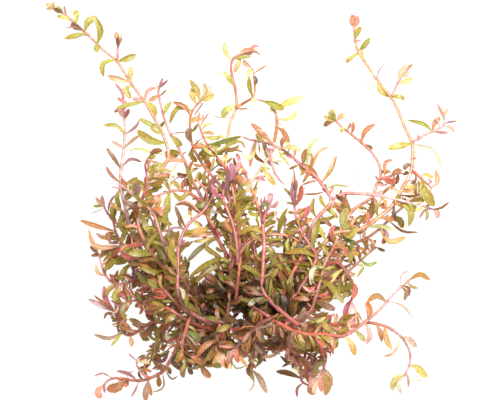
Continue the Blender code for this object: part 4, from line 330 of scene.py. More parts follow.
        "rust 3 318,180 310,182 302,185", "bronze 2.5 326,192 314,194 303,194",
        "olive 4 326,190 333,186 348,187", "amber 5 320,184 330,171 336,156",
        "lime 5 327,207 331,211 337,218", "lime 5 325,208 321,201 320,195",
        "brown 5 319,214 323,219 331,226", "rust 3 311,228 303,220 300,222",
    )),
    Stem("stem_centre_pale", 1.9, (36, 30, 26), "straw", None, (
        (240, 302), (238, 284), (236, 268), (234, 252), (233, 236), (234, 220), (238, 206), (243, 196),
        (247, 190), (252, 182), (256, 176), (261, 168), (266, 162), (271, 154), (274, 150),
    ), (
        "yellow 7 262,168 268,176 275,185", "rust 3 243,195 250,199 257,206",
        "lime 7 236,212 244,206 252,205", "brown 7 239,301 232,297 225,302",
        "olive 7 238,292 243,297 244,306",
    )),
    Stem("stem_centre_salmon", 2.3, (54, 56, 34), "salmon", None, (
        (298, 323), (290, 317), (280, 309), (270, 299), (263, 290), (262, 280), (263, 268), (263, 258),
        (264, 250), (264, 240), (263, 230), (262, 220), (260, 212), (257, 204), (254, 195), (250, 186),
        (247, 178), (243, 170), (240, 163),
    ), (
        "mauve 5 240,165 239,160 237,154", "brown 4 241,168 236,166 234,158",
        "rust 6 243,172 238,178 244,184", "pink 4 246,177 246,172 241,172",
        "rust 3 254,196 260,208 264,216", "olive 4 260,213 256,218 259,226",
        "olive 8 263,234 252,228 238,234", "olive 5 264,240 256,236 250,230",
        "olive 6 264,238 272,240 282,239", "olive 8 264,252 269,248 274,256",
        "green 5 263,268 272,262 268,252", "olive 6 263,276 252,268 242,265",
        "smoke 6 296,323 300,315 304,306",
    )),
    Stem("shoot_purple_tip", 1.5, (5, 7, 8), "magenta", "stem_centre_salmon", (
        (263, 222), (265, 214), (268, 208), (271, 204),
    ), (
        "mauve 6 269,208 269,201 271,193", "mauve 4 270,208 274,206 278,201",
        "mauve 3 266,213 262,206 261,198", "pale 4 265,220 274,216 273,209",
        "green 4 267,210 267,204 261,205",
    )),
    Stem("stem_purple_cluster", 1.9, (46, 46, 40), "magenta", None, (
        (284, 306), (294, 294), (304, 280), (312, 266), (316, 256), (313, 250), (309, 244), (304, 237),
        (300, 230), (297, 222), (295, 215), (294, 207), (294, 200),
    ), (
        "mauve 9 295,208 293,194 296,180", "coral 7 295,206 300,197 301,185",
        "bronze 2 294,190 294,177 291,166", "salmon 6 294,200 293,188 293,176",
        "olive 4 294,198 287,192 283,188", "magenta 7 298,220 304,214 309,206",
        "peach 4 296,200 301,192 305,187", "pink 5 300,231 303,229 303,224",
        "olive 6 299,230 291,233 284,230", "rust 4 298,226 305,222 306,214",
        "black 5.5 309,244 300,246 292,249", "olive 8 312,249 313,238 318,220",
        "olive 7 316,257 302,250 284,252", "bronze 4 313,262 290,260 274,263",
    )),
    Stem("stem_right_arm", 1.6, (14, 16, 8), "blush", "stem_centre_long", (
        (332, 199), (339, 195), (347, 193), (358, 194), (368, 194), (380, 196), (392, 199), (402, 201),
        (412, 204), (422, 206), (431, 209),
    ), (
        "pink 6 431,209 436,212 436,218", "brown 3 433,209 440,208 448,202",
        "mauve 3 430,210 423,210 418,218", "olive 4 424,208 426,216 424,220",
        "yellow 4 422,206 418,210 414,209", "bronze 6 339,195 344,200 347,207",
        "brown 5 347,193 341,200 335,194", "coral 4 333,200 336,206 338,213",
        "lilac 0.6 352,193 350.5,182 357.5,168", "lilac 0.6 366,194 371,187 369,181",
    )),
    Stem("stem_top_right", 2.2, (44, 30, -3), "salmon", None, (
        (266, 292), (274, 289), (284, 283), (293, 276), (300, 266), (306, 259), (315, 253), (323, 244),
        (331, 234), (341, 231), (350, 231), (360, 229), (370, 223), (380, 215), (389, 208), (396, 199),
        (401, 189), (406, 180), (410, 172), (411, 163), (412, 152), (411, 143), (405, 130), (401, 120),
        (397, 110), (391, 98), (383, 88), (376, 79), (370, 70), (364, 61), (359, 54), (356, 46),
        (355, 38), (354, 29), (354, 22),
    ), (
        "rust 6 354,27 352,21 354,15", "salmon 6 354,27 358,22 357,16", "lilac 3 353,24 352,18 352,14",
        "olive 6 356,40 357,34 361,27", "mauve 2 356,42 362,40", "olive 5 361,51 364,46 370,38",
        "lime 5 358,54 352,57 346,63", "yellow 5 364,61 361,56 361,50", "pale 4 375,82 368,85 364,98",
        "yellow 5 374,81 380,91 389,97", "olive 5 392,97 398,97 404,100",
        "mauve 1.5 375,80 379,70 385,64", "olive 7 411,144 400,146 387,149",
        "pale 5 414,144 430,150 440,167", "brown 5 410,167 406,165 403,170", "rust 2 411,160 416,158",
        "yellow 5 404,184 408,187 413,186", "pale 7 402,188 397,192 392,187",
        "brown 4 400,196 410,196 418,194", "olive 9 396,200 408,210 408,226",
        "deep 5.5 395,204 392,212 395,222", "rust 6 388,208 379,206 384,203",
        "coral 5 373,221 367,224 367,212", "leek 5 364,227 380,226 394,230",
        "brown 5 358,229 356,222 353,225", "leek 10 350,231 342,222 346,208",
        "olive 9 341,231 349,236 354,226", "olive 7 331,235 335,242 326,252",
        "rust 6 306,260 288,262 268,268",
    )),
    Stem("shoot_top_right_bud", 1.3, (7, 8, 9), "rose", "stem_top_right", (
        (392, 96), (394, 90), (397, 84), (401, 77), (404, 72),
    ), (
        "peach 6 399,83 400,74 405,67", "rust 4 401,78 406,70 412,65", "yellow 5 399,84 405,82 412,79",
        "pink 3 400,79 401,71 405,64", "peach 4 402,77 406,76 408,72",
    )),
    Stem("shoot_right_side", 1.4, (8, 9, 9), "rose", "stem_top_right", (
        (412, 142), (418, 139), (424, 135), (431, 132), (437, 129), (443, 126), (443, 118), (442, 112),
    ), (
        "lime 6 430,131 421,123 406,120", "rust 5 431,132 433,124 439,118",
        "mauve 3 432,132 439,133 447,133", "peach 4 444,126 449,128 453,133",
        "pink 4 442,120 440,112 436,104", "peach 4 443,119 444,113 447,109",
        "mauve 3 444,124 449,122 456,121", "pink 2 439,128 436,121 432,117", "mauve 2 418,139 417,134",
    )),
    Stem("stem_mid_right", 2.0, (34, 24, 2), "rose", None, (
        (306, 306), (312, 292), (318, 276), (325, 262), (333, 250), (338, 243), (342, 232), (346, 220),
        (352, 210), (363, 203), (373, 196), (374, 190), (376, 184), (380, 178), (380, 170), (378, 163),
        (374, 156), (370, 151), (366, 147), (360, 142), (354, 137), (347, 131), (340, 126), (336, 121),
    ), (
        "olive 6 334,120 331,115 334,109", "peach 5 335,120 340,117 345,114",
        "yellow 4 334,120 329,119 324,116", "brown 5 335,122 329,122 324,126",
        "olive 5 336,121 334,118 332,111", "lime 5 346,130 343,128 341,133", "rust 5 347,131 350,122",
        "rust 4 351,134 353,129 353,122", "rust 5 361,143 365,131 375,124",
        "olive 7 355,138 360,140 367,147", "lilac 0.6 366,147 372,155 374,165",
        "brown 5 362,143 366,146 372,149", "mauve 2 379,180 376,178 374,175",
        "brown 3 376,184 380,182 383,185", "olive 7 374,198 369,212 356,226",
        "brown 6 376,199 372,212 362,224", "coral 5 372,197 380,206 386,200",
        "olive 9 352,210 344,207 341,203", "green 6 338,243 348,240 352,248",
        "olive 7 334,250 345,242 355,230",
    )),
    Stem("shoot_mid_right", 1.4, (12, 14, 13), "coral", "stem_mid_right", (
        (380, 179), (385, 178), (391, 176), (397, 173), (403, 174),
    ), (
        "rust 4 381,170 384,163 392,160", "coral 7 383,179 389,182 395,179",
        "rust 6 390,176 396,172 401,171", "brown 7 396,173 397,178 395,184", "brown 6 403,174 408,173",
        "pink 4 393,176 393,184 391,190",
    )),
    Stem("shoot_right_low", 1.5, (8, 12, 9), "rust", "stem_top_right", (
        (411, 171), (417, 176), (424, 182), (430, 188),
    ), (
        "peach 5 430,189 436,182 434,170", "olive 9 419,179 424,193 433,206",
        "yellow 5 418,177 424,174 432,178", "mauve 3 426,184 430,182 426,179",
        "brown 5 413,174 414,180 409,184", "rust 6 429,188 428,194 432,199",
    )),
    Stem("stem_right_lobe", 1.8, (36, 22, -1), "rust", None, (
        (302, 316), (318, 292), (336, 268), (350, 246), (366, 238), (380, 228), (392, 216), (404, 206),
        (414, 198), (422, 193),
    ), (
        "olive 6 422,193 428,197 432,203", "rust 6 418,196 412,190 404,191",
        "olive 5 410,202 420,199 424,196", "olive 6 404,206 412,205 414,212",
        "olive 7 392,216 400,220 402,228", "brown 6 382,227 388,219 385,214",
        "mauve 7 381,228 386,234 382,244", "brown 3 388,220 402,231 418,232",
        "amber 6 380,230 389,242 405,237", "rust 5 366,238 372,242 371,250",
        "rust 4 362,240 366,248 360,254", "mauve 4 352,246 358,244 356,254",
    )),
    Stem("stem_mid_far_right", 1.8, (28, 14, -1), "salmon", None, (
        (312, 312), (322, 294), (330, 286), (338, 279), (346, 273), (354, 266), (362, 259), (370, 252),
        (376, 247),
    ), (
        "brown 3 376,247 380,249 385,251", "rust 5 374,248 373,243 376,240",
        "rust 5 371,251 366,246 367,239", "green 4 360,260 368,265 377,262",
        "lime 3 356,264 364,266 357,277",
    )),
    Stem("stem_right_bottom_long", 2.2, (56, 40, -5), "salmon", None, (
        (248, 301), (254, 306), (267, 314), (281, 323), (296, 330), (310, 333), (322, 332), (332, 334),
        (341, 335), (350, 331), (359, 325), (367, 319), (377, 311), (386, 302), (393, 294), (399, 288),
        (405, 284), (409, 280),
    ), (
        "amber 6 386,301 376,295 366,301", "rust 7 366,319 369,310 366,301",
        "peach 2 388,301 402,305 412,317", "amber 5 409,280 420,274 430,280",
        "yellow 4 408,281 411,286 418,288", "brown 4 402,286 409,288 409,296",
        "brown 4 401,287 406,292 404,300", "lilac 1.5 400,287 401,275 410,270",
        "amber 6 344,336 351,344 354,354", "olive 5 355,329 358,333 364,340",
        "pink 5 365,322 369,334 365,343", "coral 6 349,331 345,327 341,337",
        "yellow 7 332,333 326,326 320,319", "olive 7 340,336 330,341 318,338",
        "yellow 7 334,335 330,328 324,324", "lime 6 254,305 250,300 241,298",
        "lime 6 252,303 256,298 248,304", "smoke 3 280,323 268,324 254,327",
        "smoke 4 300,330 305,325 298,321",
    )),
    Stem("stem_right_bottom_droop", 1.9, (36, 16, -4), "coral", None, (
        (304, 322), (314, 326), (324, 326), (335, 323), (345, 325), (355, 325), (366, 322), (375, 323),
        (386, 326), (394, 331), (401, 336), (406, 344), (410, 352), (410, 362), (407, 371), (404, 376),
    ), (
        "rust 6 374,322 378,328 381,341", "pink 6 384,326 384,331 380,336",
        "amber 7 385,327 385,340 391,349", "blush 6 402,335 410,339 416,347",
        "lilac 0.6 410,356 415,352 422,350", "lilac 0.6 390,329 394,322 399,319",
        "peach 3 400,336 397,345 393,353 383,356", "yellow 8 409,365 417,367 427,377",
        "mauve 3 406,372 408,378 408,387", "pale 1.5 405,374 410,380 424,380",
        "yellow 7 404,374 396,379 392,390", "pale 4 404,376 398,384 402,394", "pale 1.5 410,352 400,351",
        "lime 4 335,323 340,320 347,323",
    )),
    Stem("stem_twist", 2.0, (40, 24, 14), "rose", None, (
        (292, 298), (302, 288), (312, 276), (322, 266), (331, 262), (338, 262), (343, 268), (347, 275),
        (352, 283), (353, 291), (351, 300),
    ), (
        "magenta 7 351,297 346,308 345,320", "blush 9 351,301 353,314 349,328",
        "yellow 4 353,303 355,312 356,321", "pink 7 341,263 346,270 351,280",
        "coral 7 352,280 355,288 352,298", "olive 9 351,283 345,286 346,297", "olive 3 352,284 355,285",
        "yellow 7 343,268 336,272 324,286", "mauve 6 331,262 326,274 322,286",
        "lime 7 347,276 341,280 338,292",
    )),
    Stem("stem_red_core", 1.9, (46, 44, 34), "coral", None, (
        (300, 322), (306, 314), (311, 308), (314, 298), (317, 288), (320, 278), (322, 268), (326, 258),
        (332, 248), (336, 238),
    ), (
        "blush 7 311,309 306,312 316,320", "salmon 3 317,289 310,291 301,284",
        "olive 8 320,279 330,285 342,302", "brown 8 314,299 324,304 334,308",
        "pale 6 322,268 312,268 310,284", "coral 6 336,238 330,232 334,226",
        "rust 6 332,248 340,246 348,254",
    )),
    Stem("stem_bottom_curl", 2.1, (50, 40, 26), "salmon", None, (
        (272, 316), (262, 321), (253, 328), (248, 332), (243, 338), (238, 344), (232, 348), (224, 347),
        (219, 341), (217, 334),
    ), (
        "yellow 4 248,332 246,326 244,320", "yellow 4 227,348 229,357 231,368",
        "amber 6 222,346 218,354 213,362", "amber 5 236,346 241,357 248,366",
        "rust 6 225,348 222,358 228,367", "olive 2 230,348 233,363 238,367 246,364",
        "coral 4 219,341 223,336 224,330", "pink 6 232,348 240,347 247,350",
        "amber 4.5 245,341 254,339 264,334", "olive 7 218,343 210,350 206,360",
        "rust 7 217,338 206,344 198,354",
    )),
    Stem("stem_bottom_down", 1.9, (42, 20, -4), "rose", None, (
        (266, 310), (259, 318), (253, 329), (253, 338), (252, 346), (251, 354), (250, 362), (252, 370),
    ), (
        "blush 6 253,369 260,378 267,393", "yellow 4 251,368 251,374 253,380",
        "brown 4 250,362 248,370 250,376", "pale 2 252,370 254,384 248,392",
        "brown 6 254,346 258,352 260,361", "olive 5 254,352 262,356 256,366",
        "black 4 253,350 260,356 266,361", "pink 5 251,352 256,352 258,358",
    )),
    Stem("stem_bottom_loop", 1.9, (34, 18, 12), "magenta", None, (
        (274, 322), (280, 330), (284, 338), (286, 344), (281, 348), (272, 349), (263, 348), (256, 346),
    ), (
        "peach 5 284,347 273,354 262,356", "rust 2 279,331 272,336 262,342",
        "smoke 6 283,333 280,335 272,340", "pale 3 285,342 288,336 287,331",
        "black 5 276,340 272,341 266,344",
    )),
    Stem("stem_bottom_right", 2.0, (40, 18, -4), "coral", None, (
        (292, 328), (288, 337), (290, 346), (295, 353), (303, 358), (309, 363), (304, 370), (300, 377),
        (303, 383), (308, 385),
    ), (
        "brown 6 298,378 288,373 276,371", "deep 4 298,356 289,362 280,355",
        "black 3 296,360 288,362 282,366", "mauve 3 302,383 297,388 297,397",
        "peach 7 308,385 310,390 315,394", "rust 5 301,376 307,377 308,382",
        "pale 5 303,358 297,364 296,373", "brown 6 304,371 309,366 314,364",
        "olive 7 291,347 296,342 299,334", "rust 6 293,350 300,346 303,352",
        "pale 4 306,378 308,372 312,368",
    )),
    Stem("stem_bottom_right_tuft", 1.9, (42, 18, -4), "coral", None, (
        (284, 318), (296, 328), (308, 336), (318, 343), (325, 350), (326, 358), (324, 366), (322, 373),
    ), (
        "pink 7 321,368 313,374 309,387", "salmon 7 322,369 320,380 322,391",
        "amber 7 324,370 328,383 325,395", "peach 3 325,368 331,376 332,386",
        "olive 9 324,361 317,364 313,374", "coral 8 320,345 328,345 333,354",
        "olive 6 309,337 315,345 317,353", "peach 5 321,372 316,382 313,393",
        "pale 7 308,336 318,336 330,341", "coral 5 326,356 320,353 321,346",
    )),
    Stem("stem_mid_red", 2.1, (46, 46, 42), "coral", None, (
        (230, 268), (240, 252), (250, 241), (258, 237), (266, 235), (276, 234), (286, 235), (294, 238),
        (299, 241),
    ), (
        "rust 5 299,241 300,236 304,233", "olive 5 270,235 276,242 284,246",
        "olive 6 288,236 292,230 300,232", "olive 5 262,236 258,228 248,226",
        "olive 8 250,241 247,247 250,258", "mauve 3 240,252 242,244 248,243",
        "olive 5 280,234 279,224 287,208",
    )),
    Stem("shoot_mid_left", 1.7, (20, 18, 16), "salmon", "stem_left_pink", (
        (204, 204), (198, 199), (190, 193), (181, 190), (172, 191), (163, 194), (154, 197),
    ), (
        "olive 7 170,191 168,202 169,213", "olive 6 171,190 167,184 163,177",
        "olive 6 174,193 181,199 189,192", "rust 5 155,197 150,193 143,198",
        "rust 6 160,195 158,200 151,202", "peach 3 171,189 172,174 178,163",
        "mauve 2 189,192 184,176 173,181", "rust 7 182,190 184,184 189,179",
        "olive 6 198,199 199,207 205,210",
    )),
    Stem("shoot_inner_curve", 1.6, (38, 40, 36), "salmon", None, (
        (222, 236), (214, 226), (207, 214), (208, 200), (206, 190), (201, 184), (196, 178),
    ), (
        "rust 4 206,190 212,186 218,187", "green 6 208,200 202,206 197,204",
        "olive 6 214,226 226,224 236,226", "pale 4 207,214 217,212 226,213",
        "black 3 216,228 219,222 215,231",
    )),
    Stem("stem_pink_bunch", 1.9, (50, 50, 46), "magenta", None, (
        (238, 262), (237, 244), (233, 224), (227, 208), (223, 196), (226, 184), (230, 174),
    ), (
        "mauve 7 224,192 229,180 228,166", "mauve 7 227,184 233,176 231,163",
        "pink 6 230,176 237,170 240,160", "rust 6 229,180 240,178 246,185",
        "magenta 5 223,196 215,194 212,184", "olive 7 227,206 221,202 217,208",
        "olive 8 233,222 240,212 236,202", "olive 6 235,228 244,220 250,218",
        "rust 5 232,216 226,222 232,232",
    )),
    Stem("stem_cross", 1.7, (34, 38, 40), "coral", None, (
        (246, 262), (243, 246), (239, 228), (231, 208), (229, 199), (234, 192), (240, 186),
    ), (
        "rust 4 229,200 225,193 221,186", "olive 7 240,186 240,194 238,200",
        "lime 6 240,187 246,184 250,188", "olive 6 236,190 231,184 232,178",
        "olive 7 239,228 246,232 254,230",
    )),
    Stem("stem_left_back", 1.8, (12, 10, 5), "rust", None, (
        (214, 312), (196, 292), (178, 264), (163, 238), (152, 220), (143, 206), (138, 198),
    ), (
        "olive 8 150,217 144,226 146,240", "olive 7 163,238 156,230 146,228",
        "coral 6 143,206 136,208 134,220", "olive 7 174,256 166,252 160,240",
    )),
    Stem("stem_left_middle", 1.8, (18, 20, 12), "rust", None, (
        (210, 324), (188, 312), (166, 290), (150, 272), (138, 256), (133, 244), (132, 232),
    ), (
        "olive 7 132,236 124,230 120,220", "rust 6 134,248 127,246 121,252",
        "olive 7 138,256 146,254 152,262", "mauve 6 150,272 142,274 136,268",
        "olive 8 158,282 168,276 166,264",
    )),
    Stem("stem_left_under", 1.8, (20, 22, 14), "coral", None, (
        (214, 328), (194, 322), (170, 308), (148, 302), (130, 300), (120, 305), (112, 300),
    ), (
        "lime 7 120,304 115,296 118,288", "rust 5 130,300 134,292 128,286",
        "coral 5 137,300 143,308 140,314", "pink 7 148,302 154,294 162,296",
        "lime 8 148,303 156,312 168,322", "olive 6 128,300 123,310 126,318",
    )),
    Stem("stem_mid_back", 1.8, (14, 22, 26), "rust", None, (
        (248, 330), (246, 308), (248, 286), (252, 262), (252, 240), (248, 222), (242, 208),
    ), (
        "lime 7 242,208 250,200 252,208", "olive 7 248,224 240,218 236,208",
        "deep 9 247,326 240,322 232,330", "deep 8 247,302 254,297 263,301",
        "olive 8 252,244 246,250 250,262", "olive 6 250,262 258,266 256,276",
    )),
    Stem("stem_mid_upper", 1.8, (22, 30, 30), "rust", None, (
        (272, 318), (282, 300), (288, 280), (288, 262), (284, 246), (284, 230), (286, 218),
    ), (
        "olive 6 286,220 281,226 282,212", "olive 7 284,234 292,228 298,232",
        "olive 7 286,250 296,254 304,250", "mauve 8 288,262 280,256 270,262",
        "green 6 286,242 277,246 272,240",
    )),
    Stem("stem_right_middle", 1.8, (16, 22, 16), "rust", None, (
        (292, 322), (308, 304), (324, 284), (334, 264), (344, 246), (352, 230), (352, 216),
    ), (
        "olive 9 352,218 345,214 347,202", "green 8 352,224 346,228 340,222",
        "pale 5 352,220 346,212 338,208", "olive 6 345,244 351,250 348,262",
        "rust 6 334,264 342,270 348,280", "brown 8 324,284 332,290 330,300",
    )),
    Stem("stem_low_middle", 1.8, (24, 16, 0), "rust", None, (
        (238, 312), (226, 324), (214, 332), (206, 342), (202, 352), (206, 362),
    ), (
        "yellow 6 206,361 214,364 222,366", "rust 8 204,348 212,352 216,360",
        "coral 5 214,332 222,334 226,342", "pink 6 208,340 198,342 192,340",
        "brown 6 226,324 224,334 230,342", "black 7 230,319 235,324 237,334",
    )),
    Stem("stem_low_right", 1.8, (16, 14, 8), "rust", None, (
        (262, 330), (276, 340), (290, 352), (304, 352), (316, 358), (320, 366),
    ), (
        "olive 6 319,364 313,368 316,376", "olive 6 304,352 310,348 312,342",
        "deep 4 290,352 294,360 292,368", "green 6 300,352 302,344 298,338",
    )),
)

# The outline of the thick of the bunch, where leaves fill every stem, and round holes in it as
# their middle and radius, all in spans.
THICKET = (
    (114, 180), (145, 178), (150, 150), (160, 118), (175, 150), (190, 150), (192, 110),
    (204, 112), (214, 132), (235, 134), (252, 138), (256, 128), (275, 128), (284, 134),
    (290, 145), (304, 156), (314, 160), (320, 178), (346, 190), (352, 210), (358, 222),
    (364, 205), (372, 190), (382, 170), (400, 172), (432, 175), (434, 200), (416, 210),
    (400, 226), (396, 238), (372, 250), (356, 262), (354, 300), (358, 318), (340, 338),
    (328, 362), (332, 385), (310, 388), (294, 370), (278, 352), (262, 362), (256, 378),
    (244, 362), (225, 364), (200, 368), (178, 372), (165, 384), (148, 392), (138, 370),
    (150, 348), (145, 340), (118, 336), (110, 320), (100, 300), (106, 282), (100, 270),
    (98, 256), (92, 250), (98, 238), (100, 205),
)
HOLES = (
    (173, 217, 6), (189, 250, 7), (194, 267, 6), (206, 258, 6), (186, 234, 5), (264, 188, 7),
    (276, 196, 6), (281, 208, 5), (251, 168, 8), (313, 190, 5), (313, 205, 5),
    (157, 186, 4), (214, 163, 5), (176, 162, 6), (330, 218, 3), (375, 236, 4), (400, 228, 4),
    (115, 238, 4), (361, 240, 5),
)

# How the leaves grow round a place in the thick of the bunch, which is given in spans: the share
# of the usual spacing, the further leaves at a node, the share of the usual length, the colours.
Zone = namedtuple("Zone", "u v spacing further size tones")

ZONES = (
    Zone(110, 205, 0.7, 1, 0.9, "olive amber pink olive brown"),
    Zone(108, 250, 0.5, 3, 0.95, "olive amber coral lime bronze"),
    Zone(112, 305, 0.4, 7, 0.65, "olive lime coral salmon rust amber peach"),
    Zone(145, 205, 0.6, 2, 0.95, "olive lime bronze amber olive"),
    Zone(150, 262, 0.6, 2, 1.1, "olive olive rust lime amber"),
    Zone(135, 295, 0.35, 9, 0.6, "olive rust coral lime coral amber salmon"),
    Zone(160, 340, 0.4, 5, 0.8, "olive rust smoke lime coral amber"),
    Zone(165, 375, 0.6, 2, 0.7, "lime brown rust brown olive"),
    Zone(165, 150, 0.9, 1, 0.9, "lime yellow olive peach amber"),
    Zone(200, 120, 1.4, 0, 0.8, "yellow peach rust lime"),
    Zone(200, 160, 0.7, 2, 0.8, "lime olive rust amber yellow"),
    Zone(235, 150, 0.8, 2, 0.6, "lime yellow olive rust"),
    Zone(275, 140, 1.4, 0, 0.7, "lime yellow pale peach"),
    Zone(215, 210, 0.7, 2, 0.8, "olive amber lime olive bronze"),
    Zone(240, 250, 0.8, 2, 0.7, "olive olive bronze amber lime"),
    Zone(285, 235, 0.5, 3, 0.8, "olive bronze amber lime smoke"),
    Zone(300, 182, 0.6, 3, 0.7, "coral amber mauve yellow pink"),
    Zone(330, 205, 0.6, 3, 0.8, "olive lime amber peach"),
    Zone(340, 250, 0.6, 2, 0.8, "olive bronze amber lime smoke"),
    Zone(400, 185, 0.8, 2, 0.7, "olive amber pink bronze peach"),
    Zone(390, 225, 0.8, 1, 0.8, "olive peach lime amber"),
    Zone(185, 290, 0.4, 7, 0.75, "brown olive olive rust bronze lime"),
    Zone(210, 308, 0.35, 11, 0.85, "brown deep olive rust deep olive"),
    Zone(245, 275, 0.4, 8, 0.75, "olive brown deep rust bronze lime"),
    Zone(245, 303, 0.35, 11, 0.9, "deep black brown olive rust bronze"),
    Zone(285, 275, 0.4, 7, 0.8, "olive brown deep olive bronze lime"),
    Zone(282, 303, 0.35, 11, 0.9, "deep black brown olive deep rust"),
    Zone(320, 295, 0.4, 9, 0.8, "olive brown rust olive amber coral"),
    Zone(345, 295, 0.6, 2, 0.8, "olive rust peach lime pink amber"),
    Zone(195, 345, 0.4, 7, 0.8, "brown olive rust amber smoke"),
    Zone(240, 335, 0.35, 9, 0.9, "peach olive rust coral salmon amber"),
    Zone(285, 330, 0.35, 10, 0.85, "rust olive salmon peach olive"),
    Zone(320, 335, 0.4, 7, 0.8, "olive lime peach coral amber"),
    Zone(265, 360, 0.6, 2, 0.6, "salmon rust olive peach smoke"),
    Zone(318, 370, 0.5, 4, 0.7, "amber rust pink coral"),
)
# The colours of the leaves that point sideways or down in a zone with black ones.
DEEP_TONES = "deep deep brown olive black olive"

Path = namedtuple("Path", "points radii tangents sides ups lengths")


def flat(place):
    """Return a place given in spans as metres from the middle of the bunch."""
    return ((place[0] - ORIGIN_U) * SPAN, (ORIGIN_V - place[1]) * SPAN)


def smooth_route(knots, step):
    """Return a smooth curve through the knots with a sample at every step of its length."""
    knots = np.array(knots, dtype=float)
    before = 2.0 * knots[0] - knots[1]
    after = 2.0 * knots[-1] - knots[-2]
    knots = np.vstack([before, knots, after])
    fine = []
    for i in range(1, len(knots) - 2):
        a, b, c, d = knots[i - 1:i + 3]
        for t in np.linspace(0.0, 1.0, KNOT_STEPS, endpoint=False):
            even = 2.0 * b + (2.0 * a - 5.0 * b + 4.0 * c - d) * t ** 2
            odd = (c - a) * t + (3.0 * b - a - 3.0 * c + d) * t ** 3
            fine.append(0.5 * (even + odd))
    fine.append(knots[-2])
    return even_samples(np.array(fine), step)


def gone_along(points):
    """Return how far along the line each of its points lies."""
    return np.concatenate([[0.0], np.cumsum(np.linalg.norm(np.diff(points, axis=0), axis=1))])


def even_samples(fine, step):
    """Return the same line with its samples evenly spaced along its length."""
    lengths = gone_along(fine)
    count = max(4, int(round(lengths[-1] / step)) + 1)
    at = np.linspace(0.0, lengths[-1], count)
    columns = [np.interp(at, lengths, fine[:, k]) for k in range(fine.shape[1])]
    return np.column_stack(columns)


def shifted(values, reach):
    """Return the values shifted by every count of samples up to reach, held at the ends."""
    padded = np.pad(values, [(reach, reach)] + [(0, 0)] * (values.ndim - 1), mode="edge")
    return [padded[k:k + len(values)] for k in range(2 * reach + 1)]


def calmed(values, reach):
    """Return a route averaged over its neighbours on both sides, with the ends kept."""
    result = sum(shifted(values, reach)) / (2 * reach + 1)
    ends = np.minimum(np.arange(len(values)), np.arange(len(values))[::-1])
    weight = np.clip(ends / reach, 0, 1)[:, None]
    return values * (1.0 - weight) + result * weight


def roof(values, reach):
    """Return a smooth line that is nowhere lower than the values."""
    highest = np.max(shifted(values, reach), axis=0)
    return sum(shifted(highest, reach)) / (2 * reach + 1)


def stem_radii(stem, count):
    """Return the stem's radius at each sample: it thins towards its tip."""
    share = np.linspace(0.0, 1.0, count)
    return 0.5 * stem.girth * MM * (1.0 - (1.0 - TIP_SHARE) * share ** THINNING)


def wanted_height(stem, count):
    """Return the height at each sample, a parabola through the foot, middle and tip."""
    share = np.linspace(0.0, 1.0, count)
    foot, middle, tip = stem.heights
    low = foot * (2.0 * share - 1.0) * (share - 1.0)
    mid = middle * 4.0 * share * (1.0 - share)
    high = tip * share * (2.0 * share - 1.0)
    return MM * (low + mid + high)


def resting_on(route, radii, others, gap):
    """Return how high the stem must run at each sample to lie clear above the others."""
    need = np.full(len(route), -1.0)
    for other in others:
        away = np.linalg.norm(route[:, None, :] - other.points[None, :, :2], axis=2)
        away = np.maximum(away - 0.5 * SAMPLE, 0.0)
        reach = radii[:, None] + other.radii[None, :] + gap
        over = np.sqrt(np.maximum(reach ** 2 - away ** 2, 0.0)) + other.points[None, :, 2]
        over = np.where(away < reach, over, -1.0)
        need = np.maximum(need, over.max(axis=1))
    return need


def path_of(points, radii):
    """Return the path with the directions along, beside and above the stem at each sample."""
    tangents = np.gradient(points, axis=0)
    tangents /= np.linalg.norm(tangents, axis=1)[:, None]
    sides = np.column_stack([-tangents[:, 1], tangents[:, 0], np.zeros(len(points))])
    sides /= np.maximum(np.linalg.norm(sides, axis=1), 1e-9)[:, None]
    return Path(points, radii, tangents, sides, np.cross(tangents, sides), gone_along(points))


def laying_order():
    """Return the stems from the lowest to the highest, each shoot right after its parent."""
    mains = sorted((stem for stem in STEMS if not stem.parent), key=lambda s: s.heights[1])
    waiting = [stem for stem in STEMS if stem.parent]
    order = []
    for main in mains:
        grown = [main]
        while grown:
            order += grown
            placed = [stem.name for stem in order]
            grown = [stem for stem in waiting if stem.parent in placed]
            waiting = [stem for stem in waiting if stem not in grown]
    return order


def lay_stems():
    """Return each stem's path. A stem laid later runs over the earlier ones that it crosses."""
    laid = {}
    for stem in laying_order():
        route = smooth_route([flat(place) for place in stem.route], SAMPLE)
        route = calmed(route, BEND_REACH)
        radii = stem_radii(stem, len(route))
        height = wanted_height(stem, len(route))
        others = [path for name, path in laid.items() if name != stem.parent]
        if stem.parent:
            parent = laid[stem.parent]
            nearest = np.linalg.norm(parent.points[:, :2] - route[0], axis=1).argmin()
            height = height + parent.points[nearest, 2] - height[0]
            beside = resting_on(route, radii, [parent], FORK_GAP)
            height = np.maximum(height, roof(beside, FORK_REACH))
        if others:
            above = resting_on(route, radii, others, STEM_GAP)
            height = np.maximum(height, roof(above, CROSSING_REACH))
        height = roof(np.maximum(height, radii), HEIGHT_REACH)
        points = even_samples(np.column_stack([route, height]), SAMPLE)
        laid[stem.name] = path_of(points, stem_radii(stem, len(points)))
    return laid


# Each shape's sections from base to tip: the place along the leaf and the half width there, both
# as shares of the whole.
LEAF_SHAPES = {
    "broad": ((0.0, 0.13), (0.12, 0.3), (0.28, 0.64), (0.46, 0.92), (0.64, 1.0), (0.81, 0.9),
              (0.94, 0.58), (1.0, 0.2)),
    "slim": ((0.0, 0.2), (0.14, 0.42), (0.31, 0.77), (0.49, 0.98), (0.66, 1.0), (0.82, 0.82),
             (0.94, 0.5), (1.0, 0.16)),
    "plain": ((0.0, 0.14), (0.16, 0.38), (0.38, 0.84), (0.64, 1.0), (0.87, 0.74), (1.0, 0.2)),
    "young": ((0.0, 0.35), (0.3, 0.95), (0.7, 0.9), (1.0, 0.18)),
}
# How strong the stage's light is on a surface that faces it.
STAGE_LIGHT = 1.7
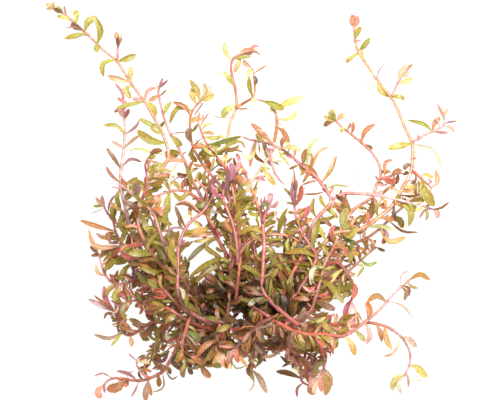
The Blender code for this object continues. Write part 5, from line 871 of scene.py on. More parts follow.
# How the leaves look on screen in that light, and how the stalks do.
TONES = {
    "brown": (0.50, 0.33, 0.19),
    "lime": (0.70, 0.68, 0.30),
    "peach": (0.93, 0.72, 0.58),
    "yellow": (0.85, 0.77, 0.46),
    "pink": (0.90, 0.63, 0.60),
    "mauve": (0.68, 0.45, 0.50),
    "olive": (0.60, 0.53, 0.19),
    "pale": (0.92, 0.89, 0.74),
    "rust": (0.72, 0.46, 0.29),
    "black": (0.30, 0.22, 0.11),
    "deep": (0.30, 0.22, 0.12),
    "magenta": (0.76, 0.36, 0.46),
    "lilac": (0.78, 0.62, 0.71),
    "coral": (0.86, 0.46, 0.40),
    "green": (0.46, 0.51, 0.22),
    "blush": (0.95, 0.78, 0.72),
    "salmon": (0.90, 0.60, 0.50),
    "amber": (0.78, 0.59, 0.32),
    "bronze": (0.60, 0.38, 0.23),
    "leek": (0.66, 0.68, 0.42),
    "smoke": (0.64, 0.50, 0.42),
}
# The tones of leaves that the painted light behind them turns fresh and green, not only pale.
GREENS = ("olive", "green", "lime", "leek")
STALK_TONES = {
    "salmon": (0.93, 0.56, 0.43),
    "pink": (0.94, 0.65, 0.66),
    "wine": (0.66, 0.34, 0.29),
    "rose": (0.88, 0.43, 0.44),
    "coral": (0.88, 0.42, 0.31),
    "magenta": (0.84, 0.36, 0.47),
    "blush": (0.95, 0.78, 0.80),
    "rust": (0.80, 0.47, 0.29),
    "straw": (0.93, 0.80, 0.56),
    "peach": (0.95, 0.70, 0.53),
    "shell": (0.95, 0.84, 0.89),
    "amber": (0.90, 0.63, 0.40),
}
# Stalks whose colour changes on the way: at the foot, at the tip, how far along it changes and
# how gradually, as shares of the length.
STALK_ENDS = {
    "stem_top_centre": ("straw", "rose", 0.77, 0.03),
    "shoot_arch_left": ("amber", "amber", 0.5, 0.3),
    "shoot_arch_right": ("amber", "amber", 0.5, 0.3),
    "stem_left_pink": ("coral", "pink", 0.45, 0.3),
    "stem_pale_left": ("salmon", "shell", 0.55, 0.15),
    "stem_magenta": ("wine", "magenta", 0.45, 0.25),
    "stem_far_left": ("coral", "peach", 0.35, 0.12),
    "stem_top_right": ("amber", "peach", 0.55, 0.15),
    "stem_right_bottom_long": ("coral", "blush", 0.6, 0.2),
    "shoot_right_side": ("pink", "blush", 0.3, 0.2),
    "shoot_top_right_bud": ("pink", "magenta", 0.8, 0.2),
    "stem_mid_right": ("coral", "salmon", 0.4, 0.2),
    "stem_mid_far_right": ("salmon", "peach", 0.6, 0.2),
    "stem_twist": ("coral", "magenta", 0.5, 0.2),
    "stem_left_lilac": ("salmon", "rose", 0.8, 0.1),
    "stem_right_bottom_droop": ("coral", "blush", 0.6, 0.25),
    "stem_centre_salmon": ("rose", "salmon", 0.66, 0.03),
    "stem_centre_pale": ("straw", "straw", 0.5, 0.3),
    "stem_right_arm": ("pink", "blush", 0.4, 0.2),
    "stem_centre_long": ("coral", "pink", 0.55, 0.3),
    "stem_bottom_left_long": ("salmon", "pink", 0.85, 0.08),
    "stem_bottom_right": ("salmon", "pink", 0.3, 0.2),
    "stem_bottom_right_tuft": ("salmon", "pink", 0.3, 0.2),
    "stem_bottom_down": ("salmon", "blush", 0.4, 0.2),
    "stem_bottom_curl": ("wine", "pink", 0.2, 0.1),
    "stem_bottom_loop": ("salmon", "rose", 0.4, 0.2),
    "stem_left_hook_low": ("salmon", "pink", 0.6, 0.3),
    "stem_left_spread": ("salmon", "peach", 0.4, 0.3),
    "stem_orange_low": ("coral", "salmon", 0.3, 0.3),
    "stem_left_inner": ("wine", "pink", 0.5, 0.3),
    "stem_purple_cluster": ("wine", "magenta", 0.5, 0.3),
    "stem_mid_red": ("wine", "salmon", 0.3, 0.2),
    "stem_pink_bunch": ("wine", "magenta", 0.4, 0.2),
    "stem_red_core": ("wine", "rust", 0.6, 0.3),
}
USUAL_ENDS = ("coral", 0.25, 0.36)
# Where a straw stalk comes out of the ground it is coral: how far up, how fast and how much.
STRAW_ROOT = (0.4, 8.0, 0.9)
# A stalk's underside in painted shade, as shares of its colour, the painted highlight along its top and
# the rings at its nodes, with how much of these shows, at the foot and from there to the tip.
PAINTED_UNDERSIDE_SHADE = (0.94, 0.62, 0.52)
PAINTED_TOP_HIGHLIGHT = (1.0, 0.94, 0.93)
TOP_HIGHLIGHT_FOOT = 0.08
TOP_HIGHLIGHT_REST = 0.36
NODE_RING = (0.78, 0.32, 0.26)
RING_SHARE = 0.4
# How fast a stalk's colour follows the upward slope of its skin and from what start, first from the
# painted shade of the underside to its own and then from its own to the painted highlight of the top.
SIDE_TURN = 1.2
SIDE_START = 1.0
TOP_TURN = 2.5
TOP_START = 1.3
# The reach of a node's swelling along the stalk, the stalk's radius as a share of the solid's
# between nodes, and what a node adds to it.
NODE_LENGTH = 0.0009
STALK_GIRTH = 1.06
NODE_SWELL = 0.2

# The dark heart of the bunch, where old leaves lie deep and where painted shade darkens the leaves and
# stalks: its middle and its reach across and along, in spans, how much of a leaf's red, green and blue
# the painted shade takes, how much of a stalk's colour, and how much more of a foot's, up to this share
# of the stalk.
HEART = (235.0, 299.0, 72.0, 27.0)
HEART_SHADE = (0.62, 0.65, 0.78)
STALK_SHADE = 0.16
FOOT_SHADE = 0.5
FOOT_SHARE = 0.12

# The painted light that comes through a thin leaf, green or not, and how much of it shows.
FRESH_LIGHT = ((0.88, 0.94, 0.55), 1.2)
PALE_LIGHT = ((1.0, 0.95, 0.86), 0.4)
# How single leaves differ: shares of the usual fold, brightness, red and blue, and the twist from
# base to tip in radians.
FOLDS = (0.4, 1.5)
BRIGHTNESS = (0.78, 1.2)
REDNESS = (0.95, 1.06)
BLUENESS = (0.85, 1.15)
TWIST = 0.35
# How low a leaf's skin and its midrib may come to the ground, in metres.
SKIN_LOW = 0.00005
MIDRIB_LOW = 0.0002
# A midrib that climbs more steeply than this has its face turned back to the stem instead of up.
STEEP = 0.85
STEEP_SKY = 0.35
# How far a midrib arches up, as a share of its length.
ARCH = 0.48

# The known leaves: how near a solid leaf's tip has to stand to be the same leaf's, how the others rise in
# radians, the length under which a leaf is a young one, the width over length under which it is a slim
# one, and how pale one is painted in the thick of the bunch, as if lit from behind.
SAME_PLACE = 0.00004
KNOWN_RISE = (-0.1, 0.5)
YOUNG_LENGTH = 0.0045
SLIM_SHARE = 0.3
THICK_PAINTED_BACKLIGHT = 0.04

# The paired leaves: how far their midribs stay off another stem, how far beside it a leaf still
# hides it from above, how near a stem has to be to count at all, and how often a leaf that hides
# one is refused, below and above this line.
STEM_ROOM = 0.0002
HIDING_ROOM = 0.0006
NEARBY = 0.002
LOW_LINE = 300.0
REFUSED_LOW = 0.85
REFUSED_HIGH = 0.5
# How far they lean out and forward, the steepest that one may point up, the shortest that one may
# look from above, how much of its slope it rises at once, the least run that its slope is worked
# out with, and how far its midrib bows sideways.
LEAN_OUT = 0.8
LEAN_FORWARD = (0.2, 0.8)
STEEPEST = 0.62
SHORTEST = 0.0015
RISE_SHARE = 0.8
LEAST_SPREAD = 0.05
BOW = 0.25
# How low one in the heart may point and still have the deep colours, its width as a share of its
# length, and how much more unevenly a paired leaf lies than a known one.
DEEP_SLOPE = 0.2
PAIR_WIDTHS = (0.2, 0.36)
PAIR_WILD = 1.5
# The first pair's place on the stem, the end of the stem that stays free, how near a known leaf
# crowds a pair out, as a share of the spacing, and how often, and how unevenly the pairs are
# spaced and turned.
FIRST_PAIR = (0.002, 0.006)
FREE_END = 0.002
CROWDING = 0.4
CROWDED_OUT = 0.5
PAIR_SPACINGS = (0.85, 1.2)
UNEVEN_TURN = 0.3
# How often a leaf without room is tried again, how far round the stem, and how much shorter.
TRIES = 3
TURN_AGAIN = (0.5, 1.2)
SHORTER = 0.85

# Up to how many degrees an edge between two faces is smooth, and how near two points are one.
LEAF_SMOOTH = 50.0
STALK_SMOOTH = 60.0
SAME_POINT = 0.00001

# What the skins multiply their colour by, as red, green and blue.
LEAF_LIGHT = (1.46, 1.44, 1.36)
LEAF_DARK = (0.67, 0.63, 0.62)
LEAF_RIM = (0.6, 0.62, 0.5)
LEAF_PAINTED_SHEEN = (1.0, 0.88, 1.5)
LEAF_PAINTED_GLOSS = (1.5, 1.45, 1.2)
LEAF_VEIN = (1.6, 1.55, 1.35)
STALK_LIGHT = (1.1, 1.15, 1.15)
STALK_DARK = (0.88, 0.72, 0.66)
STALK_WARM = (1.0, 0.96, 0.76)
# The patches on the skins: how fine and how detailed their noise is, the values from which and to
# which a patch comes in, and how the noise is stretched on the blade.
LEAF_MOTTLE = (850.0, 3.0, 0.34, 0.66)
LEAF_BLOTCH = (240.0, 2.0, 0.36, 0.64)
LEAF_STREAK = (1.0, 2.0, 0.36, 0.64, (26.0, 3.0, 1.0))
PAINTED_SHEEN_PATCHES = (130.0, 2.0, 0.45, 0.62)
PAINTED_GLOSS_PATCHES = (260.0, 2.0, 0.52, 0.7)
STALK_STREAK = (480.0, 3.0, 0.35, 0.65)
WARM_PATCHES = (70.0, 1.0, 0.42, 0.6)
# How far from the midrib, as a share of the width, the rim and the vein come in, from which share
# of the length on an old leaf is brown, and how much of each of these shows.
RIM = (0.22, 0.46)
VEIN = (0.07, 0.01)
AGED_END = (0.95, 1.5)
AGED_SHARE = 0.6
END_SHARE = 0.6
PAINTED_SHEEN_SHARE = 0.35
PAINTED_GLOSS_SHARE = 0.3
VEIN_SHARE = 0.5
# The least and the most roughness, and how far red, green and blue light goes into the skin.
LEAF_ROUGHNESS = (0.3, 0.5)
STALK_ROUGHNESS = (0.3, 0.42)
LEAF_SEEN_INTO = (0.0016, 0.0012, 0.0005)
STALK_SEEN_INTO = (0.002, 0.0009, 0.0006)
# How much a skin mirrors, how much light goes into it, and how much and how high its bumps are.
SPECULAR = 0.38
SEEN_INTO = 0.3
BUMP_SHARE = 0.35
BUMP_HEIGHT = 0.0002

# The corners of the ring that a leaf is extruded from.
LEAF_CORNERS = 8

# The stage: how wide the ground is, how far it lies below the bunch, how rough it is and how
# strongly it glows of itself, where the lamp stands, how it leans in degrees and how wide it is,
# the middle of the view in spans and how far the camera sees.
GROUND_SIZE = 3.0
GROUND_DROP = 0.0002
GROUND_ROUGHNESS = 0.9
GROUND_GLOW = 0.92
LAMP_PLACE = (0.16, 0.24, 0.6)
LAMP_LEAN = (-20.0, 14.0, 0.0)
LAMP_SIZE = 0.3
VIEW_MIDDLE = (250.0, 200.0)
FARTHEST = 20.0


def linear(colour):
    """Return a colour as light values, from the values that a screen shows."""
    return [c / 12.92 if c <= 0.04045 else ((c + 0.055) / 1.055) ** 2.4 for c in colour]


def skin(colour):
    """Return the colour of a surface that looks like this on screen in the stage's light."""
    return np.array(linear(colour)) / STAGE_LIGHT


def toned(first, second, share):
    """Return the colour that lies this share of the way from the first to the second."""
    return first + (second - first) * np.clip(share, 0.0, 1.0)


def heart_depth(places):
    """Return how deep in the heart of the bunch each place lies, from 0 to 1."""
    u = places[:, 0] / SPAN + ORIGIN_U - HEART[0]
    v = ORIGIN_V - places[:, 1] / SPAN - HEART[1]
    return np.exp(-(u / HEART[2]) ** 2 - (v / HEART[3]) ** 2)


def pick_only(obj):
    """Leave only this object selected and active."""
    bpy.ops.object.select_all(action="DESELECT")
    obj.select_set(True)
    bpy.context.view_layer.objects.active = obj


def model_leaf(name, sections):
    """Model one unit leaf along +Y by extruding a ring, and return its points and faces."""
    bpy.ops.object.select_all(action="DESELECT")
    bpy.ops.mesh.primitive_circle_add(vertices=LEAF_CORNERS, radius=1.0, fill_type="NGON",
                                      rotation=(math.pi / 2, 0.0, 0.0))
    leaf = bpy.context.object
    leaf.name = name
    bpy.ops.object.transform_apply(rotation=True)
    bpy.ops.object.mode_set(mode="EDIT")
    bpy.ops.mesh.select_all(action="SELECT")
    place, width = sections[0]
    bpy.ops.transform.resize(value=(width, 1.0, math.sqrt(width)), center_override=(0.0, place, 0.0))
    for further, wider in sections[1:]:
        move = {"value": (0.0, further - place, 0.0)}
        bpy.ops.mesh.extrude_region_move(TRANSFORM_OT_translate=move)
        grow = wider / width
        bpy.ops.transform.resize(value=(grow, 1.0, math.sqrt(grow)),
                                 center_override=(0.0, further, 0.0))
        place, width = further, wider
    bpy.ops.mesh.select_all(action="SELECT")
    bpy.ops.mesh.normals_make_consistent(inside=False)
    bpy.ops.object.mode_set(mode="OBJECT")
    points = np.array([vert.co for vert in leaf.data.vertices])
    faces = [tuple(face.vertices) for face in leaf.data.polygons]
    bpy.data.objects.remove(leaf)
    return points, faces


def bent_along(points, line, half_width, half_thick, fold, roll, twist):
    """Return the unit leaf's points laid along a midrib, with its halves folded up a little."""
    share = np.linspace(0.0, 1.0, len(line))
    heads = np.gradient(line, axis=0)
    heads /= np.linalg.norm(heads, axis=1)[:, None]
    middle = np.column_stack([np.interp(points[:, 1], share, line[:, k]) for k in range(3)])
    along = np.column_stack([np.interp(points[:, 1], share, heads[:, k]) for k in range(3)])
    along /= np.linalg.norm(along, axis=1)[:, None]
    sky = np.array([0.0, 0.0, 1.0])
    if abs(along[:, 2]).max() > STEEP:
        sky = np.array([-along[0, 0], -along[0, 1], STEEP_SKY])
    across = np.cross(along, sky)
    across /= np.maximum(np.linalg.norm(across, axis=1), 1e-9)[:, None]
    above = np.cross(across, along)
    turn = (roll + twist * points[:, 1])[:, None]
    wide = across * np.cos(turn) + above * np.sin(turn)
    face = above * np.cos(turn) - across * np.sin(turn)
    offset = points[:, 0] * half_width
    lift = np.abs(offset) * math.sin(fold) + points[:, 2] * half_thick
    placed = middle + wide * (offset * math.cos(fold))[:, None] + face * lift[:, None]
    placed[:, 2] = np.maximum(placed[:, 2], SKIN_LOW)
    return placed


class LeafBox:
    """The leaves of one stem, gathered as arrays and made into one mesh at the end."""

    def __init__(self, shapes, looks, chance):
        self.shapes = shapes
        self.looks = looks
        self.chance = chance
        self.points = []
        self.faces = []
        self.tints = []
        self.blades = []
        self.count = 0

    def add(self, shape, line, width, tone, painted_backlight=0.0, wild=1.0):
        """Add one leaf along its midrib line, painted as pale as light through a thin leaf makes it."""
        chance = self.chance
        points, faces = self.shapes[shape]
        fold = math.radians(chance.uniform(*FOLDS) * self.looks.fold)
        roll = chance.gauss(0.0, math.radians(self.looks.roll) * wild)
        twist = chance.gauss(0.0, TWIST * wild)
        placed = bent_along(points, line, 0.5 * width, self.looks.thickness / 2, fold, roll, twist)
        tint = skin(TONES[tone]) * chance.uniform(*BRIGHTNESS)
        tint *= np.array([chance.uniform(*REDNESS), 1.0, chance.uniform(*BLUENESS)])
        # Painted light through a thin leaf: it is made paler, and fresher if it is green.
        through, amount = FRESH_LIGHT if tone in GREENS else PALE_LIGHT
        tint += (skin(through) - tint) * painted_backlight * amount
        # Darker in the heart of the bunch: partly old leaves, partly painted shade.
        tint *= 1.0 - np.array(HEART_SHADE) * heart_depth(line).mean()
        self.points.append(placed)
        self.faces += [tuple(self.count + k for k in face) for face in faces]
        self.tints.append(np.tile([*np.clip(tint, 0.0, 1.0), chance.random()], (len(placed), 1)))
        self.blades.append(points[:, :2] * [0.5, 1.0] + [0.5, 0.0])
        self.count += len(placed)

    def make(self, name, material):
        """Return an object that holds all the leaves, with their colours and blade places."""
        mesh = bpy.data.meshes.new(name)
        mesh.from_pydata(np.concatenate(self.points), [], self.faces)
        paint(mesh, np.concatenate(self.tints), np.concatenate(self.blades))
        mesh.materials.append(material)
        leaves = bpy.data.objects.new(name, mesh)
        bpy.context.collection.objects.link(leaves)
        pick_only(leaves)
        bpy.ops.object.shade_smooth_by_angle(angle=math.radians(LEAF_SMOOTH))
        return leaves


def paint(mesh, tints, blades):
    """Store a colour and a place on its blade or stalk for each point of the mesh."""
    tint = mesh.color_attributes.new("tint", "FLOAT_COLOR", "POINT")
    tint.data.foreach_set("color", tints.astype(np.float32).ravel())
    corners = np.empty(len(mesh.loops), dtype=np.int32)
    mesh.loops.foreach_get("vertex_index", corners)
    for layer in list(mesh.uv_layers):
        mesh.uv_layers.remove(layer)
    layer = mesh.uv_layers.new(name="blade")
    layer.data.foreach_set("uv", blades[corners].astype(np.float32).ravel())


def midrib(start, plan, rise, reach):
    """Return a leaf's midrib: its route seen from above, rising and arching from its start."""
    if len(plan) > 2:
        route = smooth_route(plan, SAMPLE / 2)
    else:
        route = even_samples(np.array(plan), SAMPLE / 2)
    gone = gone_along(route)
    share = gone / gone[-1]
    height = start[2] + reach * math.tan(rise) * share + ARCH * reach * share * (1.0 - share)
    line = np.column_stack([route, np.maximum(height, MIDRIB_LOW)])
    line[0] = start
    return line


def tip_height(corners, tip):
    """Return the height of the solid leaf's tip that stands at this place, or None."""
    off = np.hypot(corners[:, 0] - tip[0], corners[:, 1] - tip[1])
    if off.min() > SAME_PLACE:
        return None
    return corners[off.argmin(), 2]


def read_leaf(row):
    """Return a known leaf's colour, its width and its midrib seen from above, in metres."""
    tone, width, *places = row.split()
    plan = [np.array(flat([float(number) for number in place.split(",")])) for place in places]
    return tone, float(width) * SPAN, plan


def known_leaves(box, stem, path, corners):
    """Add the stem's leaves that have a known place, at the heights of the solid ones."""
    nodes = []
    for row in stem.leaves:
        tone, width, plan = read_leaf(row)
        away = np.linalg.norm(path.points[:, :2] - plan[0], axis=1)
        spot = int(away.argmin())
        start = path.points[spot]
        plan[0] = start[:2]
        reach = sum(np.linalg.norm(b - a) for a, b in zip(plan, plan[1:]))
        top = tip_height(corners, plan[-1])
        rise = box.chance.uniform(*KNOWN_RISE) if top is None else math.atan2(top - start[2], reach)
        line = midrib(start, plan, rise, reach)
        slim = width < SLIM_SHARE * reach
        shape = "young" if reach < YOUNG_LENGTH else "slim" if slim else "broad"
        if in_thicket(plan[-1]):
            box.add(shape, line, width * box.looks.crowded, tone, THICK_PAINTED_BACKLIGHT)
        else:
            box.add(shape, line, width * box.looks.widen, tone, box.looks.painted_backlight)
        nodes.append(path.lengths[spot])
    return nodes


def read_back(plan):
    """Return a place in spans, from metres."""
    return plan[0] / SPAN + ORIGIN_U, ORIGIN_V - plan[1] / SPAN


def in_thicket(plan):
    """Return whether a place seen from above lies in the thick of the bunch and in no hole."""
    u, v = read_back(plan)
    inside = False
    for k, (u1, v1) in enumerate(THICKET):
        u0, v0 = THICKET[k - 1]
        if (v0 > v) != (v1 > v) and u < u0 + (u1 - u0) * (v - v0) / (v1 - v0):
            inside = not inside
    clear = all(math.hypot(u - hole[0], v - hole[1]) > hole[2] for hole in HOLES)
    return inside and clear


def zone_of(plan):
    """Return the zone that a place seen from above belongs to."""
    u, v = read_back(plan)
    return min(ZONES, key=lambda zone: math.hypot(zone.u - u, zone.v - v))


def room_for(line, others, chance, refused):
    """Return whether a midrib, past its first third, clears other stems and mostly hides none."""
    places = line[len(line) // 3:]
    lowest = places[:, :2].min(axis=0)
    highest = places[:, :2].max(axis=0)
    for other, low, high in others:
        if (highest < low).any() or (lowest > high).any():
            continue
        apart = places[:, None, :] - other.points[None, :, :]
        if (np.linalg.norm(apart, axis=2) < other.radii[None, :] + STEM_ROOM).any():
            return False
        over = np.linalg.norm(apart[:, :, :2], axis=2) < other.radii[None, :] + HIDING_ROOM
        if (over & (apart[:, :, 2] > 0.0)).any() and chance.random() < refused:
            return False
    return True


def grow_pair_leaf(box, path, k, around, reach, others):
    """Grow one leaf outward from a node, and return whether it found room."""
    chance = box.chance
    outward = path.sides[k] * math.cos(around) + path.ups[k] * math.sin(around)
    toward = outward * LEAN_OUT + path.tangents[k] * chance.uniform(*LEAN_FORWARD)
    spread = np.linalg.norm(toward[:2])
    tip = path.points[k] + toward * reach
    if outward[2] > STEEPEST or spread * reach < SHORTEST or not in_thicket(tip[:2]):
        return False
    rise = RISE_SHARE * math.atan2(toward[2], max(spread, LEAST_SPREAD))
    bow = np.array([-toward[1], toward[0]]) * reach * chance.uniform(-BOW, BOW)
    start = path.points[k][:2]
    plan = [start, (start + tip[:2]) / 2 + bow, tip[:2]]
    line = midrib(path.points[k], plan, rise, spread * reach)
    refused = REFUSED_LOW if read_back(tip)[1] > LOW_LINE else REFUSED_HIGH
    if not room_for(line, others, chance, refused):
        return False
    zone = zone_of(tip)
    deep = "black" in zone.tones and toward[2] < DEEP_SLOPE
    tones = DEEP_TONES if deep else zone.tones
    width = reach * chance.uniform(*PAIR_WIDTHS)
    box.add("plain", line, width, chance.choice(tones.split()), wild=PAIR_WILD)
    return True


def paired_leaves(box, path, nodes, others, looks):
    """Fill the stem in the thick of the bunch with opposite pairs, each turned a quarter."""
    chance = box.chance
    turn = chance.uniform(0.0, math.pi)
    spot = chance.uniform(*FIRST_PAIR)
    while spot < path.lengths[-1] - FREE_END:
        k = int(np.searchsorted(path.lengths, spot))
        zone = zone_of(path.points[k])
        near = any(abs(node - spot) < CROWDING * looks.spacing * zone.spacing for node in nodes)
        arounds = [turn, turn + math.pi]
        arounds += [chance.uniform(0.0, 2.0 * math.pi) for _ in range(zone.further)]
        for around in arounds:
            if near and chance.random() < CROWDED_OUT:
                continue
            reach = chance.uniform(*looks.lengths) * zone.size
            for _ in range(TRIES):
                unevenly = around + chance.gauss(0.0, UNEVEN_TURN)
                if grow_pair_leaf(box, path, k, unevenly, reach, others):
                    break
                around += chance.uniform(*TURN_AGAIN)
                reach *= SHORTER
        turn += math.pi / 2
        spot += looks.spacing * zone.spacing * chance.uniform(*PAIR_SPACINGS)


def model_stalk(stem, path, nodes, material):
    """Model the stalk as a bevelled curve that swells at its leaf nodes, made into a mesh."""
    bpy.ops.object.select_all(action="DESELECT")
    bpy.ops.curve.primitive_nurbs_path_add()
    curve = bpy.context.object
    curve.data.splines.clear()
    spline = curve.data.splines.new("POLY")
    spline.points.add(len(path.points) - 1)
    for k, point in enumerate(spline.points):
        gaps = [(path.lengths[k] - node) / NODE_LENGTH for node in nodes]
        swell = max([math.exp(-gap ** 2) for gap in gaps] or [0.0])
        point.co = (*path.points[k], 1.0)
        point.radius = path.radii[k] * (STALK_GIRTH + NODE_SWELL * swell)
    curve.data.bevel_depth = 1.0
    curve.data.bevel_resolution = 1
    curve.data.use_fill_caps = True
    curve.data.twist_mode = "Z_UP"
    bpy.ops.object.convert(target="MESH")
    stalk = bpy.context.object
    bpy.ops.object.mode_set(mode="EDIT")
    bpy.ops.mesh.select_all(action="SELECT")
    bpy.ops.mesh.remove_doubles(threshold=SAME_POINT)
    bpy.ops.mesh.normals_make_consistent(inside=False)
    bpy.ops.object.mode_set(mode="OBJECT")
    bpy.ops.object.shade_smooth_by_angle(angle=math.radians(STALK_SMOOTH))
    colour_stalk(stalk.data, stem, path, nodes)
    stalk.data.materials.clear()
    stalk.data.materials.append(material)
    return stalk


def colour_stalk(mesh, stem, path, nodes):
    """Tint the stalk from foot to tip: a painted highlight on top, darker and redder painted shade below,
    and painted shade in the heart.
    """
    points = np.array([vert.co for vert in mesh.vertices])
    upward = np.array([vert.normal.z for vert in mesh.vertices])[:, None]
    nearest = np.array([np.linalg.norm(path.points - point, axis=1).argmin() for point in points])
    share = (path.lengths / path.lengths[-1])[nearest][:, None]
    root, late, softness = USUAL_ENDS
    ends = STALK_ENDS.get(stem.name, (root, stem.tone, late, softness))
    foot, tip = [skin(STALK_TONES[tone]) for tone in ends[:2]]
    tone = toned(foot, tip, 0.5 + 0.5 * (share - ends[2]) / ends[3])
    if not stem.parent and ends[0] == "straw":
        height, speed, most = STRAW_ROOT
        tone = toned(tone, skin(STALK_TONES["coral"]), np.minimum(speed * (height - share), most))
    # Painted light: a pale highlight along the top of the stalk, stronger towards the tip, and darker,
    # redder painted shade on its underside.
    highlighted = toned(tone, skin(PAINTED_TOP_HIGHLIGHT), TOP_HIGHLIGHT_FOOT + TOP_HIGHLIGHT_REST * share)
    colour = toned(tone * np.array(PAINTED_UNDERSIDE_SHADE), tone, SIDE_START + SIDE_TURN * upward)
    colour = toned(colour, highlighted, TOP_TURN * upward - TOP_START)
    if nodes:
        gaps = np.min(np.abs(path.lengths[nearest][:, None] - np.array(nodes)[None, :]), axis=1)
        colour = toned(colour, skin(NODE_RING), RING_SHARE * np.exp(-(gaps / NODE_LENGTH) ** 2)[:, None])
    # Painted shade in the heart of the bunch, deeper at the stalk's foot.
    shade = STALK_SHADE + FOOT_SHADE * (share < FOOT_SHARE)
    colour = colour * (1.0 - heart_depth(points)[:, None] * shade)
    blades = np.column_stack([np.full(len(points), 0.5), share])
    paint(mesh, np.column_stack([colour, share]), blades)


def dress_stem(stem, looks):
    """Make one piece of the stem's stalk and leaves, in place of its plain solid."""
    paths = bunch_paths()
    path = paths[stem.name]
    solid = frame["nodes"][stem.name]
    corners = np.array([solid.matrix_world @ vert.co for vert in solid.data.vertices])
    box = LeafBox(leaf_shapes(), looks, random.Random(stem.name + " leaves"))
    nodes = known_leaves(box, stem, path, corners)
    others = [(other, other.points.min(axis=0)[:2] - NEARBY, other.points.max(axis=0)[:2] + NEARBY)
              for name, other in paths.items() if name != stem.name]
    paired_leaves(box, path, nodes, others, looks)
    piece = model_stalk(stem, path, nodes, stalk_material())
    if box.count:
        leaves = box.make(stem.name + "_leaves", leaf_material(looks))
        pick_only(piece)
        leaves.select_set(True)
        bpy.ops.object.join()
        piece = bpy.context.object
    piece.name = stem.name + "_grown"
    piece.data.name = piece.name
    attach(piece, "root")
    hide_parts(stem.name)
    return piece


# What is made once and then used by every stem.
MADE = {}


def bunch_paths():
    """Return the stems' paths, laid once."""
    if "paths" not in MADE:
        MADE["paths"] = lay_stems()
    return MADE["paths"]


def leaf_shapes():
    """Return the unit leaves, modelled once."""
    if "shapes" not in MADE:
        MADE["shapes"] = {name: model_leaf(name, sections) for name, sections in LEAF_SHAPES.items()}
    return MADE["shapes"]


def add_node(tree, kind, **settings):
    """Add a shader node and set its properties."""
    node = tree.nodes.new(kind)
    for name, value in settings.items():
        setattr(node, name, value)
    return node


def mixed(tree, kind, amount, first, second):
    """Mix two colours and return the result's socket."""
    node = add_node(tree, "ShaderNodeMix", data_type="RGBA", blend_type=kind)
    for socket, value in ((0, amount), (6, first), (7, second)):
        if isinstance(value, bpy.types.NodeSocket):
            tree.links.new(value, node.inputs[socket])
        else:
            node.inputs[socket].default_value = value
    return node.outputs[2]


def patches(tree, scale, detail, low, high, stretched=None):
    """Return the socket of patches of noise, which come in from the low value to the high one."""
    return ramped(tree, noise(tree, scale, detail, stretched), low, high)


def washed(tree, base, colour, share=1.0):
    """Multiply a colour by another one, all over or by a share, and return the socket."""
    return mixed(tree, "MULTIPLY", share, base, (*colour, 1.0))


def ramped(tree, value, low, high):
    """Map a value from low..high to 0..1 and return the socket."""
    node = add_node(tree, "ShaderNodeMapRange", clamp=True)
    tree.links.new(value, node.inputs["Value"])
    node.inputs["From Min"].default_value = low
    node.inputs["From Max"].default_value = high
    return node.outputs["Result"]


def noise(tree, scale, detail, stretched=None):
    """Return the value of a noise on the object's own place, or on a stretched blade place."""
    node = add_node(tree, "ShaderNodeTexNoise")
    node.inputs["Scale"].default_value = scale
    node.inputs["Detail"].default_value = detail
    if stretched:
        place = add_node(tree, "ShaderNodeUVMap", uv_map="blade")
        mapping = add_node(tree, "ShaderNodeMapping")
        mapping.inputs["Scale"].default_value = stretched
        tree.links.new(place.outputs["UV"], mapping.inputs["Vector"])
        tree.links.new(mapping.outputs["Vector"], node.inputs["Vector"])
    else:
        place = add_node(tree, "ShaderNodeTexCoord")
        tree.links.new(place.outputs["Object"], node.inputs["Vector"])
    return node.outputs["Fac"]


def maths(tree, operation, first, second=0.0):
    """Work out one step of arithmetic and return the socket."""
    node = add_node(tree, "ShaderNodeMath", operation=operation)
    for socket, value in enumerate((first, second)):
        if isinstance(value, bpy.types.NodeSocket):
            tree.links.new(value, node.inputs[socket])
        else:
            node.inputs[socket].default_value = value
    return node.outputs["Value"]


def set_skin(tree, base, rough, height, radius):
    """Wire a moist, slightly see-through skin: its colour, gloss from rough[0] to rough[1], bumps."""
    shader = tree.nodes["Principled BSDF"]
    tree.links.new(base, shader.inputs["Base Color"])
    gloss = add_node(tree, "ShaderNodeMapRange")
    tree.links.new(height, gloss.inputs["Value"])
    gloss.inputs["To Min"].default_value = rough[0]
    gloss.inputs["To Max"].default_value = rough[1]
    tree.links.new(gloss.outputs["Result"], shader.inputs["Roughness"])
    shader.inputs["Specular IOR Level"].default_value = SPECULAR
    shader.inputs["Subsurface Weight"].default_value = SEEN_INTO
    shader.inputs["Subsurface Radius"].default_value = radius
    shader.inputs["Subsurface Scale"].default_value = 1.0
    bump = add_node(tree, "ShaderNodeBump")
    bump.inputs["Strength"].default_value = BUMP_SHARE
    bump.inputs["Distance"].default_value = BUMP_HEIGHT
    tree.links.new(height, bump.inputs["Height"])
    tree.links.new(bump.outputs["Normal"], shader.inputs["Normal"])


